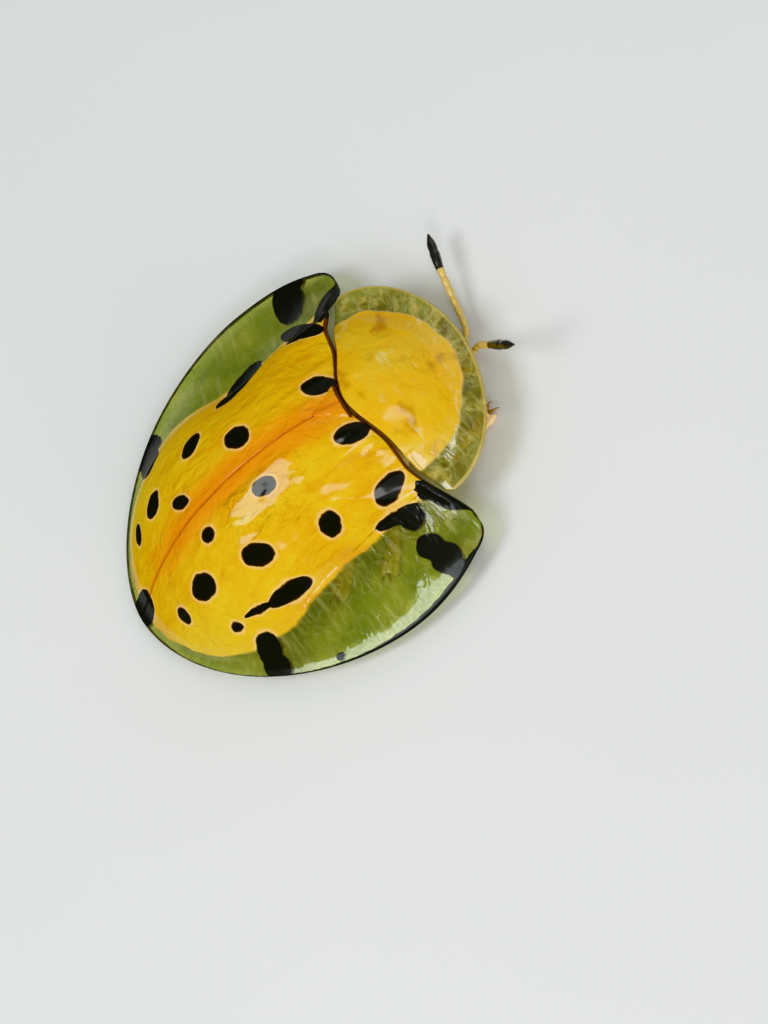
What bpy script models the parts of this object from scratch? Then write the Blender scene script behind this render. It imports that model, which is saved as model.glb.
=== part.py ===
"""A spotted tortoise beetle at rest on its six feet, at life size.

The wing cases and the neck shield each have a domed middle and a clear, flat margin. The body is
under them, in abdomen, thorax and prothorax, with the head, the feelers and the legs.

All sizes are in metres. A place on the animal is told by a, the way forward from the tail, s, the way
out from the midline, and z, the height above the floor. Side +1 is the animal's left.
"""

import math

import bmesh
import bpy
from mathutils import Vector

MM = 0.001

# The whole animal.
BODY_LENGTH = 14.0 * MM
BODY_WIDTH = 12.34 * MM
BODY_TOP = 4.2 * MM
FEELER_REACH = 15.5 * MM
GAP = 0.3 * MM
HALF_GAP = GAP / 2
WALL = 0.52 * MM
SIDES = {"left": 1, "right": -1}
FORWARD = Vector((0, -1, 0))

# Rim of the wing cases, seen from above.
RIM_WIDEST = 7.8 * MM
RIM_FRONT = 6.0 * MM
RIM_REAR_POWER = 1.8
RIM_FRONT_POWER = 2.15
RIM_REAR_SHARE = 0.60
RIM_SIDE_SHARE = 0.86
RIM_Z = 0.60 * MM
RIM_RISE_REAR = 0.15 * MM
RIM_RISE_REAR_END = 4.0 * MM
RIM_RISE_FRONT = 0.25 * MM
RIM_RISE_FRONT_ENDS = (8.0 * MM, 11.2 * MM)
RIM_THICKNESS = 0.40 * MM
SHOULDER_TIP = (11.20 * MM, 4.52 * MM)
SHOULDER_BEND = (11.50 * MM, 5.24 * MM)
SHOULDER_TURN = math.radians(27)

# The clear margin between the dome's foot and the rim: how it falls, and where its lines bend to the
# front edge.
MARGIN_HOLLOW = 0.5
MARGIN_HOLLOW_POWER = 1.6
MARGIN_SHARES = (0.20, 0.42, 0.64, 0.84, 1.0)
FOLLOW_START = 0.72
FOLLOW_RIM_START = 0.85

# Dome of the wing cases.
DOME_WIDEST = 4.6 * MM
DOME_TAIL = 0.55 * MM
DOME_HALF = 3.87 * MM
DOME_WAIST = 0.38 * MM
DOME_WAIST_END = 7.2 * MM
DOME_POWER = 2.15
DOME_CORNER = math.radians(46)
DOME_REAR_SHARE = 0.35
DOME_FRONT_END = 10.7 * MM
DOME_CROWN = 7.5 * MM
CROWN_POWER = 2.3
CROWN_FRONT_DROP = 0.75 * MM
CROWN_FRONT_REACH = 2.7 * MM
FLANK_POWER = 2.4
EDGE_Z = 0.95 * MM
EDGE_RISE_REAR = 0.90 * MM
EDGE_RISE_REAR_ENDS = (0.5 * MM, 6.5 * MM)
EDGE_RISE_FRONT = 0.35 * MM
EDGE_RISE_FRONT_ENDS = (7.0 * MM, 9.0 * MM)

# Front edge of the wing cases, where the neck shield meets them.
BASE_MIDDLE = 10.25 * MM
BASE_RISE_INNER = 0.45 * MM
BASE_RISE_INNER_END = 2.0 * MM
BASE_RISE_OUTER = 0.65 * MM
BASE_RISE_OUTER_ENDS = (2.6 * MM, 4.7 * MM)
NOTCH_TIP = 9.35 * MM
NOTCH_HALF = 0.95 * MM

# Neck shield.
SHIELD_WIDEST = 11.3 * MM
SHIELD_FRONT = BODY_LENGTH - SHIELD_WIDEST
SHIELD_HALF = 3.85 * MM
SHIELD_POWER = 1.9
SHIELD_CORNER = 3.70 * MM
SHIELD_CORNER_SHARE = 0.92
SHIELD_RIM_Z = 1.58 * MM
SHIELD_RIM_RISE = 0.20 * MM
SHIELD_RIM_RISE_ENDS = (11.0 * MM, 13.5 * MM)
SHIELD_FALL_POWER = 1.3
SHIELD_MARGIN_SHARES = (0.35, 0.70, 1.0)
SHIELD_THICKNESS = 0.45 * MM
SHIELD_RIM_THICKNESS = 0.38 * MM
BOSS_WIDEST = 11.0 * MM
BOSS_FRONT = 2.4 * MM
BOSS_HALF = 2.75 * MM
BOSS_POWER = 1.9
BOSS_TURN = math.radians(72)
BOSS_TURN_SHARE = 0.82
BOSS_TOP = 3.50 * MM
BOSS_TOP_START = 10.1 * MM
BOSS_CREST_POWER = 1.55
BOSS_FLANK_POWER = 2.3
BOSS_FOOT_Z = 1.80 * MM
BOSS_FOOT_RISE = 0.42 * MM
BOSS_FOOT_RISE_START = 10.8 * MM

# Little shield between the wing cases.
SCUTELLUM_TIP = NOTCH_TIP + 0.30 * MM
SCUTELLUM_TIP_HALF = 0.08 * MM
SCUTELLUM_HALF = 0.46 * MM
SCUTELLUM_THICKNESS = 0.55 * MM
SCUTELLUM_ROWS = 4
SCUTELLUM_COLUMNS = 3

# Trunk.
TRUNK_INSET = WALL + GAP
BELLY_Z = 1.05 * MM
BELLY_TAIL_DROP = 0.30 * MM
BELLY_TAIL_DROP_ENDS = (1.5 * MM, 6.0 * MM)
BELLY_POWER = 2.5
FLANK_HEIGHT = 0.45 * MM
ABDOMEN_ENDS = (1.85 * MM, 6.30 * MM)
THORAX_ENDS = (6.60 * MM, 10.25 * MM)
PROTHORAX_ENDS = (10.55 * MM, 12.15 * MM)
BELLY_RINGS = 5
RING_GROOVE = 0.10 * MM
RING_GROOVE_HALF = 0.07 * MM
THORAX_STEPS = 6
PROTHORAX_STEPS = 4
TRUNK_SIDES = 11

# Head.
HEAD_MIDDLE = (12.93 * MM, 0.0, 0.61 * MM)
HEAD_SIZE = (0.50 * MM, 0.64 * MM, 0.34 * MM)
MOUTH_MIDDLE = (13.08 * MM, 0.0, 0.38 * MM)
MOUTH_SIZE = (0.32 * MM, 0.34 * MM, 0.18 * MM)
JAW_AHEAD = 0.16 * MM
JAW_OUT = 0.16 * MM
JAW_SIZE = (0.22 * MM, 0.14 * MM, 0.12 * MM)
EYE_MIDDLE = (12.95 * MM, 0.84 * MM, 0.66 * MM)
EYE_SIZE = (0.37 * MM, 0.38 * MM, 0.35 * MM)

# Feelers: where each bends, then the black end on it.
FEELER_THICK = 0.25 * MM
FEELER_ROOT_THICK = 0.24 * MM
FEELER_TIP_THICK = 0.09 * MM
FEELER_JOINTS = 6
FEELER_PINCH = 0.86
FEELER_ELBOW = 0.30
CLUB_SHARES = (0.0, 0.15, 0.5, 0.8, 1.0)
CLUB_THICK = (0.20 * MM, FEELER_THICK, 0.28 * MM, 0.20 * MM, FEELER_TIP_THICK)
FEELERS = {
    "left": {
        "root": (13.52 * MM, 0.42 * MM, 0.66 * MM),
        "bend": (13.88 * MM, 0.30 * MM, 0.54 * MM),
        "neck": (14.32 * MM, 2.87 * MM, 0.90 * MM),
        "tip": (14.60 * MM, 4.04 * MM, 0.98 * MM),
    },
    "right": {
        "root": (13.52 * MM, 0.38 * MM, 0.70 * MM),
        "bend": (14.00 * MM, -0.05 * MM, 0.80 * MM),
        "neck": (14.66 * MM, 0.80 * MM, 1.80 * MM),
        "tip": (15.42 * MM, 1.60 * MM, 2.42 * MM),
    },
}

# Legs, from the hip down to the claws. The last place is the end of the sole.
THIGH_THICK = (0.27 * MM, 0.36 * MM, 0.27 * MM)
SHIN_THICK = (0.25 * MM, 0.27 * MM, 0.30 * MM)
HIP_DROP = 0.34 * MM
HIP_SIZE = (0.42 * MM, 0.42 * MM, 0.50 * MM)
KNEE_SIZE = (0.30 * MM, 0.30 * MM, 0.30 * MM)
SOLE_Z = 0.17 * MM
PADS = ((0.10, 0.26 * MM), (0.48, 0.32 * MM))
PAD_LENGTH_SHARE = 0.26
PAD_HALF_HEIGHT = 0.28 * MM
LOBE_SHARE = 0.86
LOBE_LENGTH_SHARE = 0.30
LOBE_HALF = 0.24 * MM
LOBE_SPREAD = 0.18 * MM
CLAW_ROOT_OUT = 0.05 * MM
CLAW_LENGTH = 0.42 * MM
CLAW_SPREAD = 0.11 * MM
CLAW_DROP = 0.06 * MM
CLAW_ARCH = 0.05 * MM
CLAW_THICK = (0.10 * MM, 0.08 * MM, 0.03 * MM)
LEGS = {
    "front": {
        "hip": (11.45 * MM, 0.95 * MM),
        "knee": (11.55 * MM, 2.30 * MM, 0.52 * MM),
        "ankle": (12.25 * MM, 1.98 * MM, 0.30 * MM),
        "sole": (12.98 * MM, 1.76 * MM),
    },
    "mid": {
        "hip": (8.60 * MM, 1.10 * MM),
        "knee": (9.00 * MM, 2.60 * MM, 0.52 * MM),
        "ankle": (8.42 * MM, 3.10 * MM, 0.30 * MM),
        "sole": (7.75 * MM, 3.90 * MM),
    },
    "hind": {
        "hip": (6.95 * MM, 1.10 * MM),
        "knee": (7.25 * MM, 2.35 * MM, 0.52 * MM),
        "ankle": (6.80 * MM, 2.80 * MM, 0.30 * MM),
        "sole": (5.98 * MM, 3.45 * MM),
    },
}

# How finely the surfaces are cut into faces.
DOME_STEPS = 16
DOME_REAR_STEPS = 9
RIM_STEPS = 32
SHIELD_RIM_STEPS = 26
SHIELD_STEPS = 18
SHIELD_BOSS_STEPS = 7
LIMB_SIDES = 8
CLAW_SIDES = 5
SMOOTH_ANGLE = math.radians(40)
TINY = 0.001 * MM
WELD = 0.006 * MM

COLOURS = {
    "amber": ((0.80, 0.42, 0.02, 1.0), 0.22),
    "clear_amber": ((0.62, 0.60, 0.25, 1.0), 0.25),
    "honey": ((0.72, 0.45, 0.10, 1.0), 0.35),
    "black": ((0.012, 0.010, 0.008, 1.0), 0.20),
}


def smooth(value, low, high):
    """0 below low, 1 above high, with an easy bend between."""
    t = min(max((value - low) / (high - low), 0.0), 1.0)
    return t * t * (3 - 2 * t)


def mix(first, second, share):
    """The place a share of the way from the first to the second."""
    return tuple(p + (q - p) * share for p, q in zip(first, second))


def at(side, a, s, z):
    """The place in the model of a, s and z on one side of the animal."""
    return Vector((side * s, FEELER_REACH / 2 - a, z))


def bow(reach_a, reach_s, power, angle):
    """A point on a rounded outline, as the ways along a and s from its middle."""
    along = math.copysign(abs(math.cos(angle)) ** (2 / power), math.cos(angle))
    across = math.copysign(abs(math.sin(angle)) ** (2 / power), math.sin(angle))
    return reach_a * along, reach_s * across


def base_line(s):
    """How far forward the joint of the wing cases and the neck shield is."""
    inner = BASE_RISE_INNER * smooth(s, 0.0, BASE_RISE_INNER_END)
    outer = BASE_RISE_OUTER * smooth(s, *BASE_RISE_OUTER_ENDS)
    return BASE_MIDDLE + inner + outer


def case_front(s):
    """The front edge of a wing case, with its notch for the little shield."""
    if s >= NOTCH_HALF:
        return base_line(s) - HALF_GAP
    share = (s - HALF_GAP) / (NOTCH_HALF - HALF_GAP)
    return NOTCH_TIP + (base_line(NOTCH_HALF) - HALF_GAP - NOTCH_TIP) * share


def dome_half(a, inset):
    """Half the dome's width."""
    half = DOME_HALF - inset
    if a >= DOME_WIDEST:
        return half - DOME_WAIST * smooth(a, DOME_WIDEST, DOME_WAIST_END)
    reach = DOME_WIDEST - DOME_TAIL - inset
    share = min((DOME_WIDEST - a) / reach, 1.0)
    return half * (1 - share ** DOME_POWER) ** (1 / DOME_POWER)


def dome_edge_z(a):
    """Height of the line where the dome meets the flat margin."""
    rear = EDGE_RISE_REAR * smooth(a, *EDGE_RISE_REAR_ENDS)
    front = EDGE_RISE_FRONT * smooth(a, *EDGE_RISE_FRONT_ENDS)
    return EDGE_Z + rear + front


def dome_crest(a, inset):
    """Height of the dome on the midline."""
    top = BODY_TOP - inset
    if a >= DOME_CROWN:
        return top - CROWN_FRONT_DROP * ((a - DOME_CROWN) / CROWN_FRONT_REACH) ** 2
    tail = DOME_TAIL + inset
    share = min((DOME_CROWN - a) / (DOME_CROWN - tail), 1.0)
    return top - (top - EDGE_Z) * share ** CROWN_POWER


def dome_z(a, s, inset):
    """Height of the wing cases' dome, or of a surface inset under it."""
    half = max(dome_half(a, inset), TINY)
    share = min(s / half, 1.0)
    edge = dome_edge_z(a) + HALF_GAP
    return edge + max(dome_crest(a, inset) - edge, 0.0) * (1 - share ** FLANK_POWER)


def dome_edge_rear(inset, share):
    """The dome's edge from the tail round to the corner of its patch."""
    start = dome_seam_angle(inset)
    angle = start + (DOME_CORNER - start) * share
    back, out = bow(DOME_WIDEST - DOME_TAIL - inset, DOME_HALF - inset, DOME_POWER, angle)
    return DOME_WIDEST - back, out


def dome_seam_angle(inset):
    """Where the rounded rear outline reaches the seam between the wing cases."""
    return math.asin((HALF_GAP / (DOME_HALF - inset)) ** (DOME_POWER / 2))


def dome_edge_side(inset, share):
    """The dome's edge from the corner of its patch to the front."""
    start = dome_edge_rear(inset, 1.0)[0]
    end = case_front(dome_half(DOME_FRONT_END, inset))
    a = start + (end - start) * share
    return a, dome_half(a, inset)


def dome_edge(inset, share):
    """The whole of the dome's edge, from the tail at 0 to the front at 1."""
    turn = DOME_REAR_SHARE
    if share < turn:
        return dome_edge_rear(inset, share / turn)
    return dome_edge_side(inset, (share - turn) / (1 - turn))


def rim(share):
    """The outer rim of a wing case, from the tail at 0 to the shoulder's tip at 1."""
    rear, side = RIM_REAR_SHARE, RIM_SIDE_SHARE
    if share < rear:
        low = math.asin((HALF_GAP / (BODY_WIDTH / 2)) ** (RIM_REAR_POWER / 2))
        angle = low + (math.pi / 2 - low) * share / rear
        back, out = bow(RIM_WIDEST, BODY_WIDTH / 2, RIM_REAR_POWER, angle)
        return RIM_WIDEST - back, out
    if share < side:
        angle = math.pi / 2 - SHOULDER_TURN * (share - rear) / (side - rear)
        ahead, out = bow(RIM_FRONT, BODY_WIDTH / 2, RIM_FRONT_POWER, angle)
        return RIM_WIDEST + ahead, out
    ahead, out = bow(RIM_FRONT, BODY_WIDTH / 2, RIM_FRONT_POWER, math.pi / 2 - SHOULDER_TURN)
    start = (RIM_WIDEST + ahead, out)
    t = (share - side) / (1 - side)
    return mix(mix(start, SHOULDER_BEND, t), mix(SHOULDER_BEND, SHOULDER_TIP, t), t)


def rim_z(a):
    """Height of the top of the wing cases' rim."""
    rear = RIM_RISE_REAR * smooth(a, 0.0, RIM_RISE_REAR_END)
    return RIM_Z + rear + RIM_RISE_FRONT * smooth(a, *RIM_RISE_FRONT_ENDS)


def margin_fall(share):
    """How much of the height is left, from the dome's foot at 0 to the rim at 1: a little hollow."""
    return MARGIN_HOLLOW * (1 - share) ** MARGIN_HOLLOW_POWER + (1 - MARGIN_HOLLOW) * (1 - share)


def boss_half(a, inset):
    """Half the width of the neck shield's raised middle."""
    share = min(max(a - BOSS_WIDEST, 0.0) / (BOSS_FRONT - inset), 1.0)
    return (BOSS_HALF - inset) * (1 - share ** BOSS_POWER) ** (1 / BOSS_POWER)


def boss_foot_z(a):
    """Height of the line where the raised middle meets the flat margin."""
    return BOSS_FOOT_Z + BOSS_FOOT_RISE * (1 - smooth(a, BOSS_FOOT_RISE_START, BOSS_WIDEST + BOSS_FRONT))


def boss_z(a, s, inset):
    """Height of the neck shield's raised middle, or of a surface inset under it."""
    foot = boss_foot_z(a) + HALF_GAP
    end = BOSS_WIDEST + BOSS_FRONT - inset
    share = min(max(a - BOSS_TOP_START, 0.0) / (end - BOSS_TOP_START), 1.0)
    top = BOSS_TOP - inset
    crest = top - (top - foot) * share ** BOSS_CREST_POWER
    out = min(s / max(boss_half(a, inset), TINY), 1.0)
    return foot + max(crest - foot, 0.0) * (1 - out ** BOSS_FLANK_POWER)


def boss_edge(inset, share):
    """The edge of the raised middle, from one hind corner at -1 round the front to the other."""
    turn = BOSS_TURN_SHARE
    if abs(share) <= turn:
        ahead, out = bow(BOSS_FRONT - inset, BOSS_HALF - inset, BOSS_POWER, BOSS_TURN * share / turn)
        return BOSS_WIDEST + ahead, out
    end_a, end_s = bow(BOSS_FRONT - inset, BOSS_HALF - inset, BOSS_POWER, BOSS_TURN)
    corner_s = BOSS_HALF - inset
    corner = (base_line(corner_s) + HALF_GAP, corner_s)
    a, s = mix((BOSS_WIDEST + end_a, end_s), corner, (abs(share) - turn) / (1 - turn))
    return a, math.copysign(s, share)


def shield_rim(share):
    """The outer rim of the neck shield, from one hind corner at -1 round the front to the other."""
    turn = SHIELD_CORNER_SHARE
    if abs(share) <= turn:
        ahead, out = bow(SHIELD_FRONT, SHIELD_HALF, SHIELD_POWER, math.pi / 2 * share / turn)
        return SHIELD_WIDEST + ahead, out
    corner = (base_line(SHIELD_CORNER) + HALF_GAP, SHIELD_CORNER)
    a, s = mix((SHIELD_WIDEST, SHIELD_HALF), corner, (abs(share) - turn) / (1 - turn))
    return a, math.copysign(s, share)


def shield_rim_z(a):
    """Height of the top of the neck shield's rim."""
    return SHIELD_RIM_Z + SHIELD_RIM_RISE * (1 - smooth(a, *SHIELD_RIM_RISE_ENDS))


def belly_z(a, s, half_at, foot_z_at):
    """Height of the underside, given the half width and the foot of what covers the trunk there."""
    middle = BELLY_Z - BELLY_TAIL_DROP * (1 - smooth(a, *BELLY_TAIL_DROP_ENDS))
    side = foot_z_at(a) - FLANK_HEIGHT
    return middle + (side - middle) * (s / half_at(a, TRUNK_INSET)) ** BELLY_POWER


def patch(south, north, west, east):
    """A four-sided patch of places. Its first index runs along south and north, its second across."""
    rows = len(south)
    columns = len(west)
    grid = []
    for i in range(rows):
        u = i / (rows - 1)
        row = []
        for j in range(columns):
            v = j / (columns - 1)
            along = mix(south[i], north[i], v)
            across = mix(west[j], east[j], u)
            corners = mix(mix(south[0], south[-1], u), mix(north[0], north[-1], u), v)
            row.append(tuple(p + q - r for p, q, r in zip(along, across, corners)))
        grid.append(row)
    return grid


def new_object(name, mesh, colour):
    """One piece of the animal in its own colour, with round forms shaded smooth."""
    piece = bpy.data.objects.new(name, mesh)
    bpy.context.scene.collection.objects.link(piece)
    mesh.materials.clear()
    mesh.materials.append(material(colour))
    mesh.shade_smooth()
    mesh.set_sharp_from_angle(angle=SMOOTH_ANGLE)
    return piece


def material(name):
    """One of the animal's few colours."""
    found = bpy.data.materials.get(name)
    if found:
        return found
    made = bpy.data.materials.new(name)
    made.use_nodes = True
    shader = made.node_tree.nodes["Principled BSDF"]
    colour, roughness = COLOURS[name]
    shader.inputs["Base Color"].default_value = colour
    shader.inputs["Roughness"].default_value = roughness
    shader.inputs["Metallic"].default_value = 0.0
    return made


def closed_mesh(name, points, faces):
    """A closed mesh of triangles whose faces point outwards."""
    form = bmesh.new()
    corners = [form.verts.new(point) for point in points]
    for face in faces:
        form.faces.new([corners[i] for i in face])
    bmesh.ops.triangulate(form, faces=[face for face in form.faces if len(face.verts) > 3])
    bmesh.ops.recalc_face_normals(form, faces=form.faces)
    if form.calc_volume(signed=True) < 0:
        bmesh.ops.reverse_faces(form, faces=form.faces)
    mesh = bpy.data.meshes.new(name)
    form.to_mesh(mesh)
    form.free()
    return mesh


def plate(name, top, under):
    """A closed plate between two grids of places of the same size, split alike on both faces."""
    rows, columns = len(top), len(top[0])
    points = [p for row in top for p in row] + [p for row in under for p in row]
    lower = rows * columns
    faces = []
    for i in range(rows - 1):
        for j in range(columns - 1):
            a = i * columns + j
            b, c, d = a + 1, a + columns + 1, a + columns
            halves = [(a, b, c), (a, c, d)]
            if (points[a] - points[c]).length > (points[b] - points[d]).length:
                halves = [(a, b, d), (b, c, d)]
            faces += halves
            faces += [(lower + p, lower + r, lower + q) for p, q, r in halves]
    border = list(range(columns))
    border += [i * columns + columns - 1 for i in range(1, rows)]
    border += [(rows - 1) * columns + j for j in range(columns - 2, -1, -1)]
    border += [i * columns for i in range(rows - 2, 0, -1)]
    for k, start in enumerate(border):
        end = border[(k + 1) % len(border)]
        faces += [(start, lower + start, end), (end, lower + start, lower + end)]
    return closed_mesh(name, points, faces)


def loft(name, rings):
    """A closed body through rings of equal count, with flat ends."""
    count = len(rings[0])
    points = [point for ring in rings for point in ring]
    faces = [tuple(range(count)), tuple(range(len(points) - count, len(points)))]
    for i in range(len(rings) - 1):
        for j in range(count):
            k = (j + 1) % count
            faces.append((i * count + j, i * count + k, (i + 1) * count + k, (i + 1) * count + j))
    return closed_mesh(name, points, faces)


def tube(name, path, radii, sides=LIMB_SIDES):
    """A round limb along a path of vectors, with a radius at each."""
    rings = []
    for i, centre in enumerate(path):
        ahead = (path[min(i + 1, len(path) - 1)] - path[max(i - 1, 0)]).normalized()
        across = ahead.cross(Vector((0, 0, 1))).normalized()
        rise = across.cross(ahead)
        ring = []
        for k in range(sides):
            turn = 2 * math.pi * k / sides
            ring.append(centre + (across * math.cos(turn) + rise * math.sin(turn)) * radii[i])
        rings.append(ring)
    return loft(name, rings)


def ball(name, centre, ahead, size, around=8, high=6):
    """A round lump with its first radius along the heading, then the radius across and the one up."""
    heading = Vector((ahead.x, ahead.y, 0)).normalized()
    across = Vector((-heading.y, heading.x, 0))
    rings = []
    for i in range(1, high):
        slope = math.pi * i / high
        ring = []
        for k in range(around):
            turn = 2 * math.pi * k / around
            along = heading * size[0] * math.cos(turn) * math.sin(slope)
            wide = across * size[1] * math.sin(turn) * math.sin(slope)
            ring.append(centre + along + wide + Vector((0, 0, size[2] * math.cos(slope))))
        rings.append(ring)
    return loft(name, rings)


def union(name, meshes):
    """The mesh of one body from pieces that run into each other."""
    group = bpy.data.collections.new(name + "_pieces")
    bpy.context.scene.collection.children.link(group)
    pieces = [bpy.data.objects.new(mesh.name, mesh) for mesh in meshes]
    for piece in pieces[1:]:
        group.objects.link(piece)
    bpy.context.scene.collection.objects.link(pieces[0])
    join = pieces[0].modifiers.new("join", "BOOLEAN")
    join.operation = "UNION"
    join.operand_type = "COLLECTION"
    join.collection = group
    join.solver = "EXACT"
    joined = evaluated_mesh(pieces[0])
    for piece in pieces:
        bpy.data.objects.remove(piece)
    bpy.data.collections.remove(group)
    return joined


def evaluated_mesh(piece):
    """A plain mesh of a piece with its modifiers applied."""
    graph = bpy.context.evaluated_depsgraph_get()
    return bpy.data.meshes.new_from_object(piece.evaluated_get(graph))


def cut(mesh, corner, away):
    """The part of a mesh on one side of a plane, closed where it was cut."""
    form = bmesh.new()
    form.from_mesh(mesh)
    geometry = form.verts[:] + form.edges[:] + form.faces[:]
    plane = {"plane_co": corner, "plane_no": away}
    result = bmesh.ops.bisect_plane(form, geom=geometry, dist=TINY, clear_outer=True, **plane)
    edges = [item for item in result["geom_cut"] if isinstance(item, bmesh.types.BMEdge)]
    bmesh.ops.holes_fill(form, edges=edges)
    bmesh.ops.triangulate(form, faces=[face for face in form.faces if len(face.verts) > 3])
    bmesh.ops.recalc_face_normals(form, faces=form.faces)
    form.to_mesh(mesh)
    form.free()
    return mesh


def largest_surface(mesh, name):
    """The largest closed surface of a mesh, without slivers."""
    form = bmesh.new()
    form.from_mesh(mesh)
    bmesh.ops.remove_doubles(form, verts=form.verts, dist=WELD)
    bmesh.ops.dissolve_degenerate(form, edges=form.edges, dist=WELD)
    bmesh.ops.triangulate(form, faces=[face for face in form.faces if len(face.verts) > 3])
    waiting = set(form.faces)
    best = []
    while waiting:
        surface = []
        front = [waiting.pop()]
        while front:
            face = front.pop()
            surface.append(face)
            for edge in face.edges:
                for other in edge.link_faces:
                    if other in waiting:
                        waiting.remove(other)
                        front.append(other)
        if sum(face.calc_area() for face in surface) > sum(face.calc_area() for face in best):
            best = surface
    keep = set(best)
    bmesh.ops.delete(form, geom=[face for face in form.faces if face not in keep], context="FACES")
    bmesh.ops.recalc_face_normals(form, faces=form.faces)
    made = bpy.data.meshes.new(name)
    form.to_mesh(made)
    form.free()
    bpy.data.meshes.remove(mesh)
    return made


def dome_patch(side, inset):
    """Places over one wing case's dome, from the seam out to the edge."""
    seam_start = dome_edge_rear(inset, 0.0)[0]
    seam_end = case_front(HALF_GAP)
    seam = []
    edge = []
    for i in range(DOME_STEPS + 1):
        share = i / DOME_STEPS
        seam.append((seam_start + (seam_end - seam_start) * share, HALF_GAP))
        edge.append(dome_edge_side(inset, share))
    rear = [dome_edge_rear(inset, j / DOME_REAR_STEPS) for j in range(DOME_REAR_STEPS + 1)]
    front = []
    for j in range(DOME_REAR_STEPS + 1):
        s = HALF_GAP + (edge[-1][1] - HALF_GAP) * j / DOME_REAR_STEPS
        front.append((case_front(s), s))
    plan = patch(seam, edge, rear, front)
    return [[at(side, a, s, dome_z(a, s, inset)) for a, s in row] for row in plan]


def elytron(name, side):
    """The domed, opaque middle of a wing case: a thin shell."""
    mesh = plate(name, dome_patch(side, 0.0), dome_patch(side, WALL))
    return new_object(name, mesh, "amber")


def elytron_margin(name, side):
    """The clear, flat margin of a wing case. Its root runs in under the dome's wall."""
    top = []
    under = []
    for i in range(RIM_STEPS + 1):
        u = i / RIM_STEPS
        inner, foot, outer = dome_edge(WALL, u), dome_edge(0.0, u), rim(u)
        root_z = dome_edge_z(foot[0]) - HALF_GAP
        places = [(inner, 0.0), (foot, 0.0)]
        for share in MARGIN_SHARES:
            a, s = mix(foot, outer, share)
            follow = smooth(u, FOLLOW_START, 1.0) * (1 - smooth(share, FOLLOW_RIM_START, 1.0))
            places.append(((a + (case_front(s) - a) * follow, s), share))
        row_top = []
        row_under = []
        for (a, s), share in places:
            z = rim_z(outer[0]) + (root_z - rim_z(outer[0])) * margin_fall(share)
            thickness = WALL + (RIM_THICKNESS - WALL) * share
            row_top.append(at(side, a, s, z))
            row_under.append(at(side, a, s, z - thickness))
        top.append(row_top)
        under.append(row_under)
    return new_object(name, plate(name, top, under), "clear_amber")


def scutellum():
    """The little shield between the wing cases."""
    front = base_line(0.0) - HALF_GAP
    top = []
    for i in range(SCUTELLUM_ROWS + 1):
        share = i / SCUTELLUM_ROWS
        a, half = mix((SCUTELLUM_TIP, SCUTELLUM_TIP_HALF), (front, SCUTELLUM_HALF), share)
        row = []
        for j in range(SCUTELLUM_COLUMNS + 1):
            row.append(at(1, a, half * (2 * j / SCUTELLUM_COLUMNS - 1), dome_crest(a, 0.0)))
        top.append(row)
    under = [[point - Vector((0, 0, SCUTELLUM_THICKNESS)) for point in row] for row in top]
    return new_object("scutellum", plate("scutellum", top, under), "amber")


def boss_patch(inset):
    """Places over the neck shield's raised middle."""
    turn = BOSS_TURN_SHARE
    corner_s = BOSS_HALF - inset
    hind = []
    front = []
    for i in range(SHIELD_STEPS + 1):
        share = 2 * i / SHIELD_STEPS - 1
        s = corner_s * math.sin(math.pi / 2 * share)
        hind.append((base_line(abs(s)) + HALF_GAP, s))
        front.append(boss_edge(inset, turn * share))
    right = []
    left = []
    for j in range(SHIELD_BOSS_STEPS + 1):
        share = 1 - (1 - turn) * j / SHIELD_BOSS_STEPS
        right.append(boss_edge(inset, -share))
        left.append(boss_edge(inset, share))
    plan = patch(hind, front, right, left)
    return [[at(1, a, s, boss_z(a, abs(s), inset)) for a, s in row] for row in plan]


def pronotum():
    """The neck shield's raised middle: a thin shell over the fore body."""
    return new_object("pronotum", plate("pronotum", boss_patch(0.0), boss_patch(WALL)), "amber")


def pronotum_margin():
    """The clear margin round the front and sides of the neck shield."""
    top = []
    under = []
    for i in range(SHIELD_RIM_STEPS + 1):
        u = 2 * i / SHIELD_RIM_STEPS - 1
        inner, foot, outer = boss_edge(WALL, u), boss_edge(0.0, u), shield_rim(u)
        root_z, rim_height = boss_foot_z(foot[0]) - HALF_GAP, shield_rim_z(outer[0])
        places = [(inner, 0.0), (foot, 0.0)]
        places += [(mix(foot, outer, share), share) for share in SHIELD_MARGIN_SHARES]
        row_top = []
        row_under = []
        for (a, s), share in places:
            z = rim_height + (root_z - rim_height) * (1 - share) ** SHIELD_FALL_POWER
            thickness = SHIELD_THICKNESS + (SHIELD_RIM_THICKNESS - SHIELD_THICKNESS) * share
            row_top.append(at(1, a, s, z))
            row_under.append(at(1, a, s, z - thickness))
        top.append(row_top)
        under.append(row_under)
    return new_object("pronotum_margin", plate("pronotum_margin", top, under), "clear_amber")


def trunk_ring(a, half_at, foot_z_at, top_z, groove=0.0):
    """A ring of places round the trunk: over the top from side to side, and back along the underside."""
    half = half_at(a, TRUNK_INSET)
    ring = []
    for i in range(TRUNK_SIDES + 1):
        s = -half * math.cos(math.pi * i / TRUNK_SIDES)
        ring.append(at(1, a, s, top_z(a, abs(s))))
    for i in range(TRUNK_SIDES + 1):
        s = half * math.cos(math.pi * i / TRUNK_SIDES)
        ring.append(at(1, a, s, belly_z(a, abs(s), half_at, foot_z_at) + groove))
    return ring


def under_dome(a, s):
    """The trunk's top under the wing cases."""
    return dome_z(a, s, TRUNK_INSET) - HALF_GAP


def under_shield(a, s):
    """The trunk's top under the neck shield, and no higher than the wing cases let it be."""
    return min(boss_z(a, s, TRUNK_INSET), dome_z(a, s, TRUNK_INSET)) - HALF_GAP


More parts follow.
